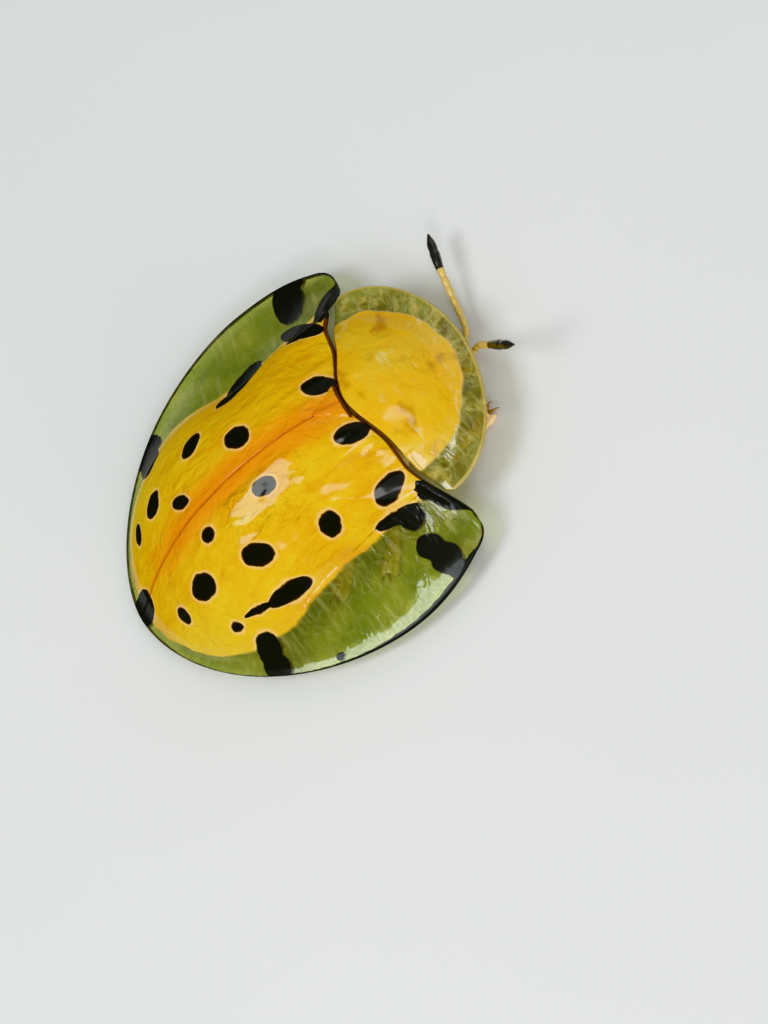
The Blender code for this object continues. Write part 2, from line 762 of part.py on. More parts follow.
def abdomen():
    """The hind body, with a groove between each two rings of its underside."""
    low, high = ABDOMEN_ENDS
    stations = [(low, 0.0)]
    for i in range(1, BELLY_RINGS):
        a = low + (high - low) * i / BELLY_RINGS
        stations += [(a - RING_GROOVE_HALF, 0.0), (a, RING_GROOVE), (a + RING_GROOVE_HALF, 0.0)]
    stations.append((high, 0.0))
    rings = [trunk_ring(a, dome_half, dome_edge_z, under_dome, groove) for a, groove in stations]
    return new_object("abdomen", loft("abdomen", rings), "honey")


def thorax():
    """The middle body, which carries the wing cases and four of the legs."""
    low, high = THORAX_ENDS
    rings = []
    for i in range(THORAX_STEPS + 1):
        a = low + (high - low) * i / THORAX_STEPS
        rings.append(trunk_ring(a, dome_half, dome_edge_z, under_dome))
    return new_object("thorax", loft("thorax", rings), "honey")


def prothorax():
    """The fore body under the neck shield."""
    low, high = PROTHORAX_ENDS
    rings = []
    for i in range(PROTHORAX_STEPS + 1):
        a = low + (high - low) * i / PROTHORAX_STEPS
        rings.append(trunk_ring(a, boss_half, boss_foot_z, under_shield))
    return new_object("prothorax", loft("prothorax", rings), "honey")


def head():
    """The head, with mouth and jaws under its front."""
    skull = ball("skull", at(1, *HEAD_MIDDLE), FORWARD, HEAD_SIZE, 16, 10)
    mouth = ball("mouth", at(1, *MOUTH_MIDDLE), FORWARD, MOUTH_SIZE, 12, 7)
    pieces = [skull, mouth]
    for side in SIDES.values():
        a, s, z = MOUTH_MIDDLE
        pieces.append(ball("jaw", at(side, a + JAW_AHEAD, JAW_OUT, z), FORWARD, JAW_SIZE))
    return new_object("head", largest_surface(union("head", pieces), "head"), "honey")


def eye(name, side):
    """An eye: half a ball with its flat face towards the head."""
    mesh = ball(name, at(side, *EYE_MIDDLE), FORWARD, EYE_SIZE, 14, 9)
    face = at(side, EYE_MIDDLE[0], HEAD_SIZE[1] + GAP, EYE_MIDDLE[2])
    return new_object(name, largest_surface(cut(mesh, face, Vector((-side, 0, 0))), name), "black")


def feeler_path(side, route):
    """The yellow stem's places from the root round its elbow, then straight to the neck of the black end."""
    root, bend, neck = route["root"], route["bend"], route["neck"]
    elbow_end = mix(bend, neck, FEELER_ELBOW)
    path = []
    for i in range(FEELER_JOINTS):
        t = i / FEELER_JOINTS
        path.append(at(side, *mix(mix(root, bend, t), mix(bend, elbow_end, t), t)))
    for i in range(FEELER_JOINTS + 1):
        path.append(at(side, *mix(elbow_end, neck, i / FEELER_JOINTS)))
    return path


def feeler(name, side, route):
    """The yellow stem of a feeler, pinched at its joints."""
    path = feeler_path(side, route)
    radii = []
    for i in range(len(path)):
        thick = FEELER_ROOT_THICK + (FEELER_THICK - FEELER_ROOT_THICK) * i / (len(path) - 1)
        radii.append(thick if i % 2 else thick * FEELER_PINCH)
    return new_object(name, tube(name, path, radii), "honey")


def feeler_club(name, side, route):
    """The black, thicker end of a feeler, which tapers to its tip."""
    neck, tip = at(side, *route["neck"]), at(side, *route["tip"])
    ahead = (tip - neck).normalized()
    start = neck + ahead * GAP
    path = [start + (tip - start) * share for share in CLUB_SHARES]
    return new_object(name, tube(name, path, CLUB_THICK), "black")


def leg(name, side, route, half_at, foot_z_at):
    """A leg in one piece: hip, thigh, shin, and a foot of broad pads with two claws, flat underneath."""
    hip_a, hip_s = route["hip"]
    hip_face = at(side, hip_a, hip_s, belly_z(hip_a, hip_s, half_at, foot_z_at) - GAP)
    hip = hip_face - Vector((0, 0, HIP_DROP))
    knee, ankle = at(side, *route["knee"]), at(side, *route["ankle"])
    sole = at(side, *route["sole"], SOLE_Z)
    heel = Vector((ankle.x, ankle.y, SOLE_Z))
    foot = sole - heel
    ahead = foot.normalized()
    across = Vector((-ahead.y, ahead.x, 0))
    pieces = [
        tube("thigh", [hip, (hip + knee) / 2, knee], THIGH_THICK),
        cut(ball("hip", hip, ahead, HIP_SIZE), hip_face, Vector((0, 0, 1))),
        ball("kneecap", knee, ahead, KNEE_SIZE),
        tube("shin", [knee, (knee + ankle) / 2, ankle], SHIN_THICK),
    ]
    for share, half in PADS:
        size = (PAD_LENGTH_SHARE * foot.length, half, PAD_HALF_HEIGHT)
        pieces.append(ball("pad", heel + foot * share, ahead, size))
    for way in (-1, 1):
        centre = heel + foot * LOBE_SHARE + across * LOBE_SPREAD * way
        size = (LOBE_LENGTH_SHARE * foot.length, LOBE_HALF, PAD_HALF_HEIGHT)
        pieces.append(ball("lobe", centre, ahead, size))
        root = sole + across * CLAW_ROOT_OUT * way
        tip = root + ahead * CLAW_LENGTH + across * CLAW_SPREAD * way - Vector((0, 0, CLAW_DROP))
        middle = (root + tip) / 2 + Vector((0, 0, CLAW_ARCH))
        pieces.append(tube("claw", [root, middle, tip], CLAW_THICK, CLAW_SIDES))
    standing = cut(union(name, pieces), Vector((0, 0, 0)), Vector((0, 0, -1)))
    return new_object(name, largest_surface(standing, name), "honey")


def build():
    """The whole animal."""
    for piece in list(bpy.data.objects):
        bpy.data.objects.remove(piece)
    abdomen()
    thorax()
    prothorax()
    head()
    scutellum()
    pronotum()
    pronotum_margin()
    for word, side in SIDES.items():
        elytron(f"elytron_{word}", side)
        elytron_margin(f"elytron_{word}_margin", side)
        eye(f"eye_{word}", side)
        feeler(f"antenna_{word}", side, FEELERS[word])
        feeler_club(f"antenna_{word}_club", side, FEELERS[word])
        for place, route in LEGS.items():
            cover = (boss_half, boss_foot_z) if place == "front" else (dome_half, dome_edge_z)
            leg(f"leg_{place}_{word}", side, route, *cover)


build()
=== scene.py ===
"""The looks of a spotted tortoise beetle at life size.

Its wing cases and neck shield have a shining golden middle and a clear margin, with black markings on the
wing cases. Under them are the head, the feelers, the legs and one skin over the whole trunk.

Every piece is built in millimetres, and becomes metres as it is handed over. A place on the animal is
told by a, the way forward from the tail, s, the way out from the midline, and z, the height above the
floor. Side +1 is the animal's left.
"""

import math

import bmesh
import bpy
import numpy as np
from mathutils import Matrix, Vector, noise


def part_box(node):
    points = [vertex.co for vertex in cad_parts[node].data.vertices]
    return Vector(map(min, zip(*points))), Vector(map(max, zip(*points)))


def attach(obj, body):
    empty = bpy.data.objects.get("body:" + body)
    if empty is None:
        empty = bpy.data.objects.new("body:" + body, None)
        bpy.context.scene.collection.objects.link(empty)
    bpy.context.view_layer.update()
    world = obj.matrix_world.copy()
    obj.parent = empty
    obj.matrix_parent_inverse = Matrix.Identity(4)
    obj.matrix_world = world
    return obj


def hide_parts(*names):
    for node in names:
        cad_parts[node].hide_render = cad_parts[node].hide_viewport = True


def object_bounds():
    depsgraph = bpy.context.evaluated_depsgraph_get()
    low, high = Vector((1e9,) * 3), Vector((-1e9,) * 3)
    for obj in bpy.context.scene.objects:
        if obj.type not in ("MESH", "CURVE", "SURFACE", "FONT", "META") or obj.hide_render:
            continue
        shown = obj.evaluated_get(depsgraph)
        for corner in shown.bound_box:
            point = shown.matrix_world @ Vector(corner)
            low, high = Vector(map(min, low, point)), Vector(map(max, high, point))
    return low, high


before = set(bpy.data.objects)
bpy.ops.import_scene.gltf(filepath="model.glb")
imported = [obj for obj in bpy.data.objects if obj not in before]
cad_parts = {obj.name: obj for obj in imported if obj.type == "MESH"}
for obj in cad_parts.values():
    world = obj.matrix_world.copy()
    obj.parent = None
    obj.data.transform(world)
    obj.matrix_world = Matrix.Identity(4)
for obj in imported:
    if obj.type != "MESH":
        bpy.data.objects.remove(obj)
CAD_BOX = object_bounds()

MM = 0.001
SIDES = {"left": 1, "right": -1}

# The whole animal, as the solids have it.
TAIL_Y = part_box("elytron_left_margin")[1].y / MM
BODY_TOP = CAD_BOX[1].z / MM
BODY_LENGTH = 14.0
BODY_WIDTH = 12.34
SEAM = 0.003

# Rim of the wing cases, seen from above.
RIM_WIDEST = 7.8
RIM_FRONT = 6.0
RIM_REAR_POWER = 1.8
RIM_FRONT_POWER = 2.15
RIM_REAR_SHARE = 0.60
RIM_SIDE_SHARE = 0.86
RIM_Z = 0.60
RIM_RISE_REAR = 0.15
RIM_RISE_FRONT = 0.25
SHOULDER_TIP = (11.20, 4.52)
SHOULDER_BEND = (11.50, 5.24)
SHOULDER_TURN = math.radians(27)

# Dome of the wing cases.
DOME_WIDEST = 4.6
DOME_TAIL = 0.55
DOME_HALF = 3.87
DOME_WAIST = 0.38
DOME_WAIST_END = 7.2
DOME_POWER = 2.15
DOME_CORNER = math.radians(46)
DOME_CROWN = 7.5
CROWN_POWER = 2.3
CROWN_FRONT_DROP = 0.75
CROWN_FRONT_REACH = 2.7
FLANK_POWER = 2.4
EDGE_Z = 0.95
EDGE_RISE_REAR = 0.90
EDGE_RISE_FRONT = 0.35

# Front edge of the wing cases, where the neck shield meets them.
BASE_MIDDLE = 10.25
BASE_RISE_INNER = 0.45
BASE_RISE_OUTER = 0.65
BASE_GAP = 0.03
NOTCH_TIP = 9.35
NOTCH_HALF = 0.58
TURN_SHARE = 0.35
FLAT_WIDTH = 0.85
FLAT_SHARE = 0.45
FLAT_SLOPE = 0.66
HOLLOW_POWER = 1.08


def smooth(value, low, high):
    """0 below low, 1 above high, with an easy bend between."""
    t = np.clip((value - low) / (high - low), 0.0, 1.0)
    return t * t * (3 - 2 * t)


def mix(first, second, share):
    """The value or place a share of the way from the first to the second."""
    return np.asarray(first) * (1 - share) + np.asarray(second) * share


def bow(reach_a, reach_s, power, angle):
    """A point on a rounded outline, as the ways along a and s from its middle."""
    along = np.sign(np.cos(angle)) * abs(np.cos(angle)) ** (2 / power)
    across = np.sign(np.sin(angle)) * abs(np.sin(angle)) ** (2 / power)
    return np.array((reach_a * along, reach_s * across))


def base_line(s):
    """How far forward the joint of the wing cases and the neck shield is."""
    return BASE_MIDDLE + BASE_RISE_INNER * smooth(s, 0.0, 2.0) + BASE_RISE_OUTER * smooth(s, 2.6, 4.7)


def case_front(s):
    """The front edge of a wing case, with its notch for the little shield."""
    share = np.clip((s - SEAM) / (NOTCH_HALF - SEAM), 0.0, 1.0)
    notch = mix(NOTCH_TIP, base_line(NOTCH_HALF) - BASE_GAP, share)
    return np.where(s >= NOTCH_HALF, base_line(s) - BASE_GAP, notch)


def dome_half(a, inset):
    """Half the dome's width."""
    half = DOME_HALF - inset
    waist = half - DOME_WAIST * smooth(a, DOME_WIDEST, DOME_WAIST_END)
    share = np.clip((DOME_WIDEST - a) / (DOME_WIDEST - DOME_TAIL - inset), 0.0, 1.0)
    return np.where(a >= DOME_WIDEST, waist, half * (1 - share**DOME_POWER) ** (1 / DOME_POWER))


def dome_edge_z(a):
    """Height of the line where the dome meets the clear margin."""
    return EDGE_Z + EDGE_RISE_REAR * smooth(a, 0.5, 6.5) + EDGE_RISE_FRONT * smooth(a, 7.0, 9.0)


def dome_crest(a, inset):
    """Height of the dome on the midline."""
    top = BODY_TOP - inset
    front = top - CROWN_FRONT_DROP * (np.maximum(a - DOME_CROWN, 0.0) / CROWN_FRONT_REACH) ** 2
    share = np.clip((DOME_CROWN - a) / (DOME_CROWN - DOME_TAIL - inset), 0.0, 1.0)
    return np.where(a >= DOME_CROWN, front, top - (top - EDGE_Z) * share**CROWN_POWER)


def dome_z(a, s, inset):
    """Height of the wing cases' dome, or of a surface inset under it."""
    share = np.clip(s / np.maximum(dome_half(a, inset), 0.001), 0.0, 1.0)
    edge = dome_edge_z(a)
    return edge + np.maximum(dome_crest(a, inset) - edge, 0.0) * (1 - share**FLANK_POWER)


def dome_edge_rear(inset, share):
    """The dome's edge from the tail round to the corner of its patch."""
    half = DOME_HALF - inset
    start = math.asin((SEAM / half) ** (DOME_POWER / 2))
    reach = bow(DOME_WIDEST - DOME_TAIL - inset, half, DOME_POWER, mix(start, DOME_CORNER, share))
    return np.array((DOME_WIDEST - reach[0], reach[1]))


def dome_edge_side(inset, share):
    """The dome's edge from the corner of its patch to the front."""
    end = case_front(dome_half(BASE_MIDDLE + BASE_RISE_INNER, inset))
    a = mix(dome_edge_rear(inset, 1.0)[0], end, share)
    return np.array((a, dome_half(a, inset)))


def dome_edge(inset, share):
    """The whole of the dome's edge, from the tail at 0 to the front at 1."""
    if share < TURN_SHARE:
        return dome_edge_rear(inset, share / TURN_SHARE)
    return dome_edge_side(inset, (share - TURN_SHARE) / (1 - TURN_SHARE))


def rim(share):
    """The outer rim of a wing case, from the tail at 0 to the shoulder's tip at 1."""
    half = BODY_WIDTH / 2
    if share < RIM_REAR_SHARE:
        low = math.asin((SEAM / half) ** (RIM_REAR_POWER / 2))
        reach = bow(RIM_WIDEST, half, RIM_REAR_POWER, mix(low, math.pi / 2, share / RIM_REAR_SHARE))
        return np.array((RIM_WIDEST - reach[0], reach[1]))
    if share < RIM_SIDE_SHARE:
        t = (share - RIM_REAR_SHARE) / (RIM_SIDE_SHARE - RIM_REAR_SHARE)
        return bow(RIM_FRONT, half, RIM_FRONT_POWER, math.pi / 2 - SHOULDER_TURN * t) + (RIM_WIDEST, 0)
    start = bow(RIM_FRONT, half, RIM_FRONT_POWER, math.pi / 2 - SHOULDER_TURN) + (RIM_WIDEST, 0)
    t = (share - RIM_SIDE_SHARE) / (1 - RIM_SIDE_SHARE)
    return mix(mix(start, SHOULDER_BEND, t), mix(SHOULDER_BEND, SHOULDER_TIP, t), t)


def rim_z(a):
    """Height of the top of the wing cases' rim."""
    return RIM_Z + RIM_RISE_REAR * smooth(a, 0.0, 4.0) + RIM_RISE_FRONT * smooth(a, 8.0, 11.2)


def margin_fall(share, width):
    """How much of the height is left, from the dome's foot at 0 to the rim at 1, with a flatter rim."""
    back = 1 - share
    flat = np.minimum(FLAT_WIDTH / width, FLAT_SHARE)
    inner = np.maximum(back - flat, 0.0) / (1 - flat)
    return FLAT_SLOPE * np.minimum(back, flat) + (1 - FLAT_SLOPE * flat) * inner**HOLLOW_POWER


def place(side, a, s, z):
    """The point of a, s and z on one side of the animal."""
    return Vector((side * s, TAIL_Y - a, z))


def places(side, plan, z):
    """The points of a grid of a and s with their heights."""
    return np.stack((side * plan[..., 1], TAIL_Y - plan[..., 0], z), -1)


def patch(south, north, west, east):
    """A four-sided patch of a and s. South and north run with the rows, west and east with the columns."""
    south, north, west, east = (np.array(line, float) for line in (south, north, west, east))
    u = np.linspace(0, 1, len(south))[:, None, None]
    v = np.linspace(0, 1, len(west))[None, :, None]
    corners = mix(mix(south[0], south[-1], u), mix(north[0], north[-1], u), v)
    return mix(south[:, None], north[:, None], v) + mix(west[None], east[None], u) - corners


def lump(across, along=0.0):
    """A soft bump of height 1 that has all but gone at a distance of 2."""
    return np.exp(-(across**2) - along**2)


def ripple(x, y, layer, size):
    """Smooth noise from -1 to 1 over a grid, for forms of about that size. Each layer has its own pattern."""
    points = np.stack((x, y, np.full_like(x, layer)), -1).reshape(-1, 3) / size
    return np.array([noise.fractal(Vector(point), 1.0, 2.0, 2) for point in points]).reshape(x.shape)


def rounded(distance, radius):
    """How far a surface has dropped at a distance from its rounded edge."""
    share = 1 - np.clip(distance / radius, 0.0, 1.0)
    return radius * (1 - np.sqrt(1 - share**2))


def eased(z, rounds):
    """Heights with the crease across their columns worn into an easy hollow. The two end columns stay."""
    z = z.copy()
    for _ in range(rounds):
        z[:, 1:-1] = 0.25 * z[:, :-2] + 0.5 * z[:, 1:-1] + 0.25 * z[:, 2:]
    return z


# Meshes
def finish_mesh(mesh):
    """Turns all faces outwards and shades them smooth."""
    form = bmesh.new()
    form.from_mesh(mesh)
    bmesh.ops.recalc_face_normals(form, faces=form.faces)
    if form.calc_volume(signed=True) < 0:
        bmesh.ops.reverse_faces(form, faces=form.faces)
    form.to_mesh(mesh)
    form.free()
    mesh.shade_smooth()
    return mesh


def plate(name, top, under, values):
    """A closed thin plate between two grids of places, with the values that its finish reads."""
    rows, columns = top.shape[:2]
    count = rows * columns
    index = np.arange(count).reshape(rows, columns)
    quads = np.stack((index[:-1, :-1], index[:-1, 1:], index[1:, 1:], index[1:, :-1]), -1).reshape(-1, 4)
    border = np.concatenate((index[0, :-1], index[:-1, -1], index[-1, :0:-1], index[:0:-1, 0]))
    after = np.roll(border, -1)
    walls = np.stack((border, border + count, after + count, after), -1)
    faces = np.concatenate((quads, quads[:, ::-1] + count, walls))
    corners = np.concatenate((top.reshape(-1, 3), under.reshape(-1, 3)))
    mesh = bpy.data.meshes.new(name)
    mesh.from_pydata(corners.tolist(), [], faces.tolist())
    for key, value in values.items():
        layer = mesh.attributes.new(key, "FLOAT", "POINT")
        layer.data.foreach_set("value", np.tile(value.ravel(), 2).astype(np.float32))
    return finish_mesh(mesh)


def from_form(name, form):
    """A mesh of what has been built so far."""
    mesh = bpy.data.meshes.new(name)
    form.to_mesh(mesh)
    form.free()
    return mesh


def add_lump(form, centre, sizes, turn=None, around=28, up=18):
    """Adds an egg shape with a radius each way, turned by a rotation matrix."""
    matrix = Matrix.Translation(centre) @ (turn or Matrix.Identity(4)) @ Matrix.Diagonal((*sizes, 1.0))
    bmesh.ops.create_uvsphere(form, u_segments=around, v_segments=up, radius=1.0, matrix=matrix)


def heading(ahead, up=Vector((0, 0, 1))):
    """A rotation that turns X to the way ahead and keeps Z as near to up as it can."""
    ahead = ahead.normalized()
    across = up.cross(ahead).normalized()
    return Matrix((ahead, across, ahead.cross(across))).transposed().to_4x4()


def join_rings(form, rings):
    """Adds the walls between rings of the same number of corners, and closes both ends."""
    for low, high in zip(rings, rings[1:]):
        for k, corner in enumerate(low):
            m = (k + 1) % len(low)
            form.faces.new((corner, low[m], high[m], high[k]))
    form.faces.new(rings[0][::-1])
    form.faces.new(rings[-1])


def add_sweep(form, path, radii, sides=18, flat=1.0):
    """Adds a round limb along a path, with a radius at each place. Flat is its height over its width."""
    rings = []
    angles = [2 * math.pi * k / sides for k in range(sides)]
    for i, centre in enumerate(path):
        turn = heading(path[min(i + 1, len(path) - 1)] - path[max(i - 1, 0)]).to_3x3()
        offsets = [Vector((0, math.cos(angle), math.sin(angle) * flat)) * radii[i] for angle in angles]
        rings.append([form.verts.new(centre + turn @ offset) for offset in offsets])
    join_rings(form, rings)


def radii_between(start, end, count):
    """Radii that change evenly from start to end."""
    return [start + (end - start) * i / (count - 1) for i in range(count)]


def curve_points(corners, steps):
    """An easy curve through a few places."""
    corners = [corners[0], *corners, corners[-1]]
    path = []
    for i in range(1, len(corners) - 2):
        p, q, r, s = corners[i - 1 : i + 3]
        for k in range(steps):
            t = k / steps
            bend = (r - p) * t + (2 * p - 5 * q + 4 * r - s) * t**2 + (3 * q - p - 3 * r + s) * t**3
            path.append(q + bend / 2)
    return [*path, corners[-2]]


def new_object(name, data):
    """A new object in the scene."""
    made = bpy.data.objects.new(name, data)
    bpy.context.scene.collection.objects.link(made)
    return made


def melted(name, form, cell, rounds):
    """One closed skin round forms that run into each other, with softened creases."""
    bmesh.ops.recalc_face_normals(form, faces=form.faces)
    piece = new_object(name, from_form(name, form))
    skin = piece.modifiers.new("skin", "REMESH")
    skin.mode = "VOXEL"
    skin.voxel_size = cell
    soften = piece.modifiers.new("soften", "SMOOTH")
    soften.factor = 0.5
    soften.iterations = rounds
    return finish_mesh(settled(piece))


def settled(piece):
    """A plain mesh of a piece with its modifiers applied. The piece itself goes."""
    graph = bpy.context.evaluated_depsgraph_get()
    mesh = bpy.data.meshes.new_from_object(piece.evaluated_get(graph))
    mesh.name = piece.name
    bpy.data.objects.remove(piece)
    return mesh


def corners_of(mesh, key="co"):
    """The places of a mesh's corners, or their normals, one in each row."""
    values = np.empty(len(mesh.vertices) * 3)
    mesh.vertices.foreach_get(key, values)
    return values.reshape(-1, 3)


def move_corners(mesh, corners):
    """Puts a mesh's corners at other places."""
    mesh.vertices.foreach_set("co", corners.ravel())
    mesh.update()


def flatten(mesh, low):
    """Brings all that is lower up to a height above the floor."""
    corners = corners_of(mesh)
    corners[:, 2] = np.maximum(corners[:, 2], low)
    move_corners(mesh, corners)


def hand_over(name, mesh, finish, nodes=()):
    """Turns a mesh into metres and makes it a piece of the animal, in place of the nodes it stands for."""
    mesh.transform(Matrix.Scale(MM, 4))
    if finish:
        mesh.materials.clear()
        mesh.materials.append(finish)
    piece = new_object(name, mesh)
    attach(piece, "root")
    if nodes:
        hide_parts(*nodes)
    return piece


# Finishes
class Wiring:
    """Adds nodes to one tree, and wires each as it is added."""

    def __init__(self, tree):
        self.tree = tree

    def add(self, kind, wires=None, **settings):
        """A new node with its settings, and with values or other nodes' outputs on its inputs."""
        node = self.tree.nodes.new(kind)
        for key, value in settings.items():
            setattr(node, key, value)
        for key, value in (wires or {}).items():
            self.wire(value, node.inputs[key])
        return node

    def wire(self, value, socket):
        """Puts a value or another node's output on an input."""
        if isinstance(value, bpy.types.NodeSocket):
            self.tree.links.new(value, socket)
        else:
            socket.default_value = value

    def math(self, operation, first, second=0.0):
        """The output of one sum."""
        return self.add("ShaderNodeMath", {0: first, 1: second}, operation=operation).outputs[0]

    def times(self, first, second):
        """One value times another."""
        return self.math("MULTIPLY", first, second)

    def step(self, value, low, high, start=0.0, end=1.0):
        """An easy change from start to end as the value goes from low to high."""
        wires = {"Value": value, "From Min": low, "From Max": high, "To Min": start, "To Max": end}
        node = self.add("ShaderNodeMapRange", wires, interpolation_type="SMOOTHSTEP")
        return node.outputs["Result"]

    def tint(self, share, first, second):
        """The first colour, changed towards the second by a share."""
        return self.add("ShaderNodeMix", {0: share, 6: first, 7: second}, data_type="RGBA").outputs[2]

    def noise(self, vector, scale, detail=2.0, roughness=0.5, distortion=0.0):
        """Smooth noise from 0 to 1, with a number of features to a millimetre."""
        wires = {"Vector": vector, "Scale": scale, "Detail": detail, "Roughness": roughness}
        node = self.add("ShaderNodeTexNoise", {**wires, "Distortion": distortion})
        return node.outputs[0]

    def cells(self, vector, scale, feature="DISTANCE_TO_EDGE"):
        """The distance to the walls of cells, or with F1 to their middles. Scale is cells to a millimetre."""
        node = self.add("ShaderNodeTexVoronoi", {"Vector": vector, "Scale": scale}, feature=feature)
        return node.outputs["Distance"]

    def stretch(self, vector, amounts):
        """The vector with each of its parts made larger or smaller."""
        node = self.add("ShaderNodeVectorMath", {0: vector, 1: amounts}, operation="MULTIPLY")
        return node.outputs[0]

    def stored(self, name):
        """A value that the mesh carries."""
        return self.add("ShaderNodeAttribute", attribute_name=name).outputs["Fac"]


def new_group(name, inputs, outputs):
    """An empty shared effect with named sockets, and the outputs of its input node."""
    tree = bpy.data.node_groups.new(name, "ShaderNodeTree")
    for key, value in inputs.items():
        kind = "NodeSocketVector" if value is None else "NodeSocketFloat"
        socket = tree.interface.new_socket(key, in_out="INPUT", socket_type=kind)
        if value is not None:
            socket.default_value = value
    for key in outputs:
        kind = "NodeSocketColor" if key == "Colour" else "NodeSocketFloat"
        tree.interface.new_socket(key, in_out="OUTPUT", socket_type=kind)
    wiring = Wiring(tree)
    return wiring, wiring.add("NodeGroupInput").outputs


def close_group(wiring, results):
    """Wires a shared effect's results to its output sockets."""
    wiring.add("NodeGroupOutput", results)
    return wiring.tree


# Shared effects
MARKING_SOFTNESS = 0.025
MARKING_CORE = (-0.10, -0.02)
RING_WIDTH = 0.13


def cuticle_relief():
    """Low wrinkles with crumpled swells and finer grain between them, as a height in millimetres."""
    inputs = {"Place": None, "Wrinkle": 1.6, "Wrinkle height": 0.004, "Swell": 2.8, "Swell height": 0.0}
    inputs.update({"Grain": 14.0, "Grain height": 0.002})
    wiring, given = new_group("Cuticle relief", inputs, ["Height"])
    broad = wiring.noise(given["Place"], given["Wrinkle"], 2.0, 0.4, 0.6)
    ridge = wiring.math("ABSOLUTE", wiring.math("SUBTRACT", broad, 0.5))
    fold = wiring.times(wiring.step(ridge, 0.0, 0.10), given["Wrinkle height"])
    swell = wiring.noise(given["Place"], given["Swell"], 2.0, 0.5, 1.2)
    swell = wiring.times(swell, given["Swell height"])
    grain = wiring.times(wiring.noise(given["Place"], given["Grain"]), given["Grain height"])
    return close_group(wiring, {"Height": wiring.math("ADD", wiring.math("ADD", fold, swell), grain)})


def cuticle_mottle():
    """Uneven depth of colour: large soft clouds with small flecks in them, from 0 to 1."""
    inputs = {"Place": None, "Cloud": 0.5, "Fleck": 6.0, "Fleck share": 0.3}
    wiring, given = new_group("Cuticle mottle", inputs, ["Depth"])
    cloud = wiring.step(wiring.noise(given["Place"], given["Cloud"], 2.0), 0.3, 0.7)
    fleck = wiring.step(wiring.noise(given["Place"], given["Fleck"], 3.0, 0.6), 0.35, 0.7)
    rest = wiring.math("SUBTRACT", 1.0, given["Fleck share"])
    flecks = wiring.times(fleck, given["Fleck share"])
    return close_group(wiring, {"Depth": wiring.math("ADD", wiring.times(cloud, rest), flecks)})


def black_marking():
    """A black marking's mask, core and pale ring, from the way in millimetres to its edge."""
    inputs = {"Place": None, "Distance": 1.0, "Wobble": 0.05}
    wiring, given = new_group("Black marking", inputs, ["Mask", "Ring", "Core"])
    sway = wiring.math("SUBTRACT", wiring.noise(given["Place"], 2.6, 2.0), 0.5)
    edge = wiring.math("ADD", given["Distance"], wiring.times(sway, given["Wobble"]))
    mask = wiring.step(edge, -MARKING_SOFTNESS, MARKING_SOFTNESS, 1.0, 0.0)
    ring = wiring.step(edge, 0.0, RING_WIDTH, 1.0, 0.0)
    ring = wiring.times(ring, wiring.math("SUBTRACT", 1.0, mask))
    core = wiring.step(edge, *MARKING_CORE, 1.0, 0.0)
    return close_group(wiring, {"Mask": mask, "Ring": ring, "Core": core})


def amber_colour():
    """The wing cases' amber: clouds, long streaks, and paler, yellower flanks towards the tail."""
    wiring, given = new_group("Wing case amber", {"Place": None, "Out": 0.0, "Along": 5.0}, ["Colour"])
    cloud = wiring.step(wiring.noise(given["Place"], 0.45, 2.0), 0.3, 0.7)
    fleck = wiring.step(wiring.noise(given["Place"], 3.0, 3.0, 0.6), 0.35, 0.7)
    depth = wiring.math("ADD", wiring.times(cloud, 0.65), wiring.times(fleck, 0.35))
    colour = wiring.tint(depth, AMBER, AMBER_PALE)
    streak = wiring.noise(wiring.stretch(given["Place"], (2.4, 0.7, 1.0)), 1.0, 4.0, 0.6, 0.6)
    colour = wiring.tint(wiring.step(streak, 0.50, 0.66, 0.0, 0.55), colour, AMBER_DEEP)
    colour = wiring.tint(wiring.step(streak, 0.46, 0.32, 0.0, 0.6), colour, LEMON)
    flank = wiring.times(wiring.step(given["Along"], 6.5, 1.5), wiring.step(given["Out"], 0.8, 3.2))
    return close_group(wiring, {"Colour": wiring.tint(wiring.times(flank, 0.8), colour, LEMON)})


def golden_colour():
    """The neck shield's gold, with brown clouds and pale streaks."""
    wiring, given = new_group("Neck shield gold", {"Place": None}, ["Colour"])
    depth = wiring.noise(given["Place"], 0.6, 4.0, 0.6)
    colour = wiring.tint(wiring.step(depth, 0.35, 0.65), GOLD, GOLD_PALE)
    blotch = wiring.noise(wiring.stretch(given["Place"], (1.0, 1.4, 1.0)), 0.9, 3.0, 0.55)
    colour = wiring.tint(wiring.times(wiring.step(blotch, 0.54, 0.70), 0.75), colour, GOLD_BROWN)
    streak = wiring.noise(wiring.stretch(given["Place"], (0.7, 1.9, 1.0)), 1.5, 3.0, 0.6, 0.8)
    colour = wiring.tint(wiring.times(wiring.step(streak, 0.58, 0.70), 0.36), colour, STRAW_PALE)
    return close_group(wiring, {"Colour": colour})


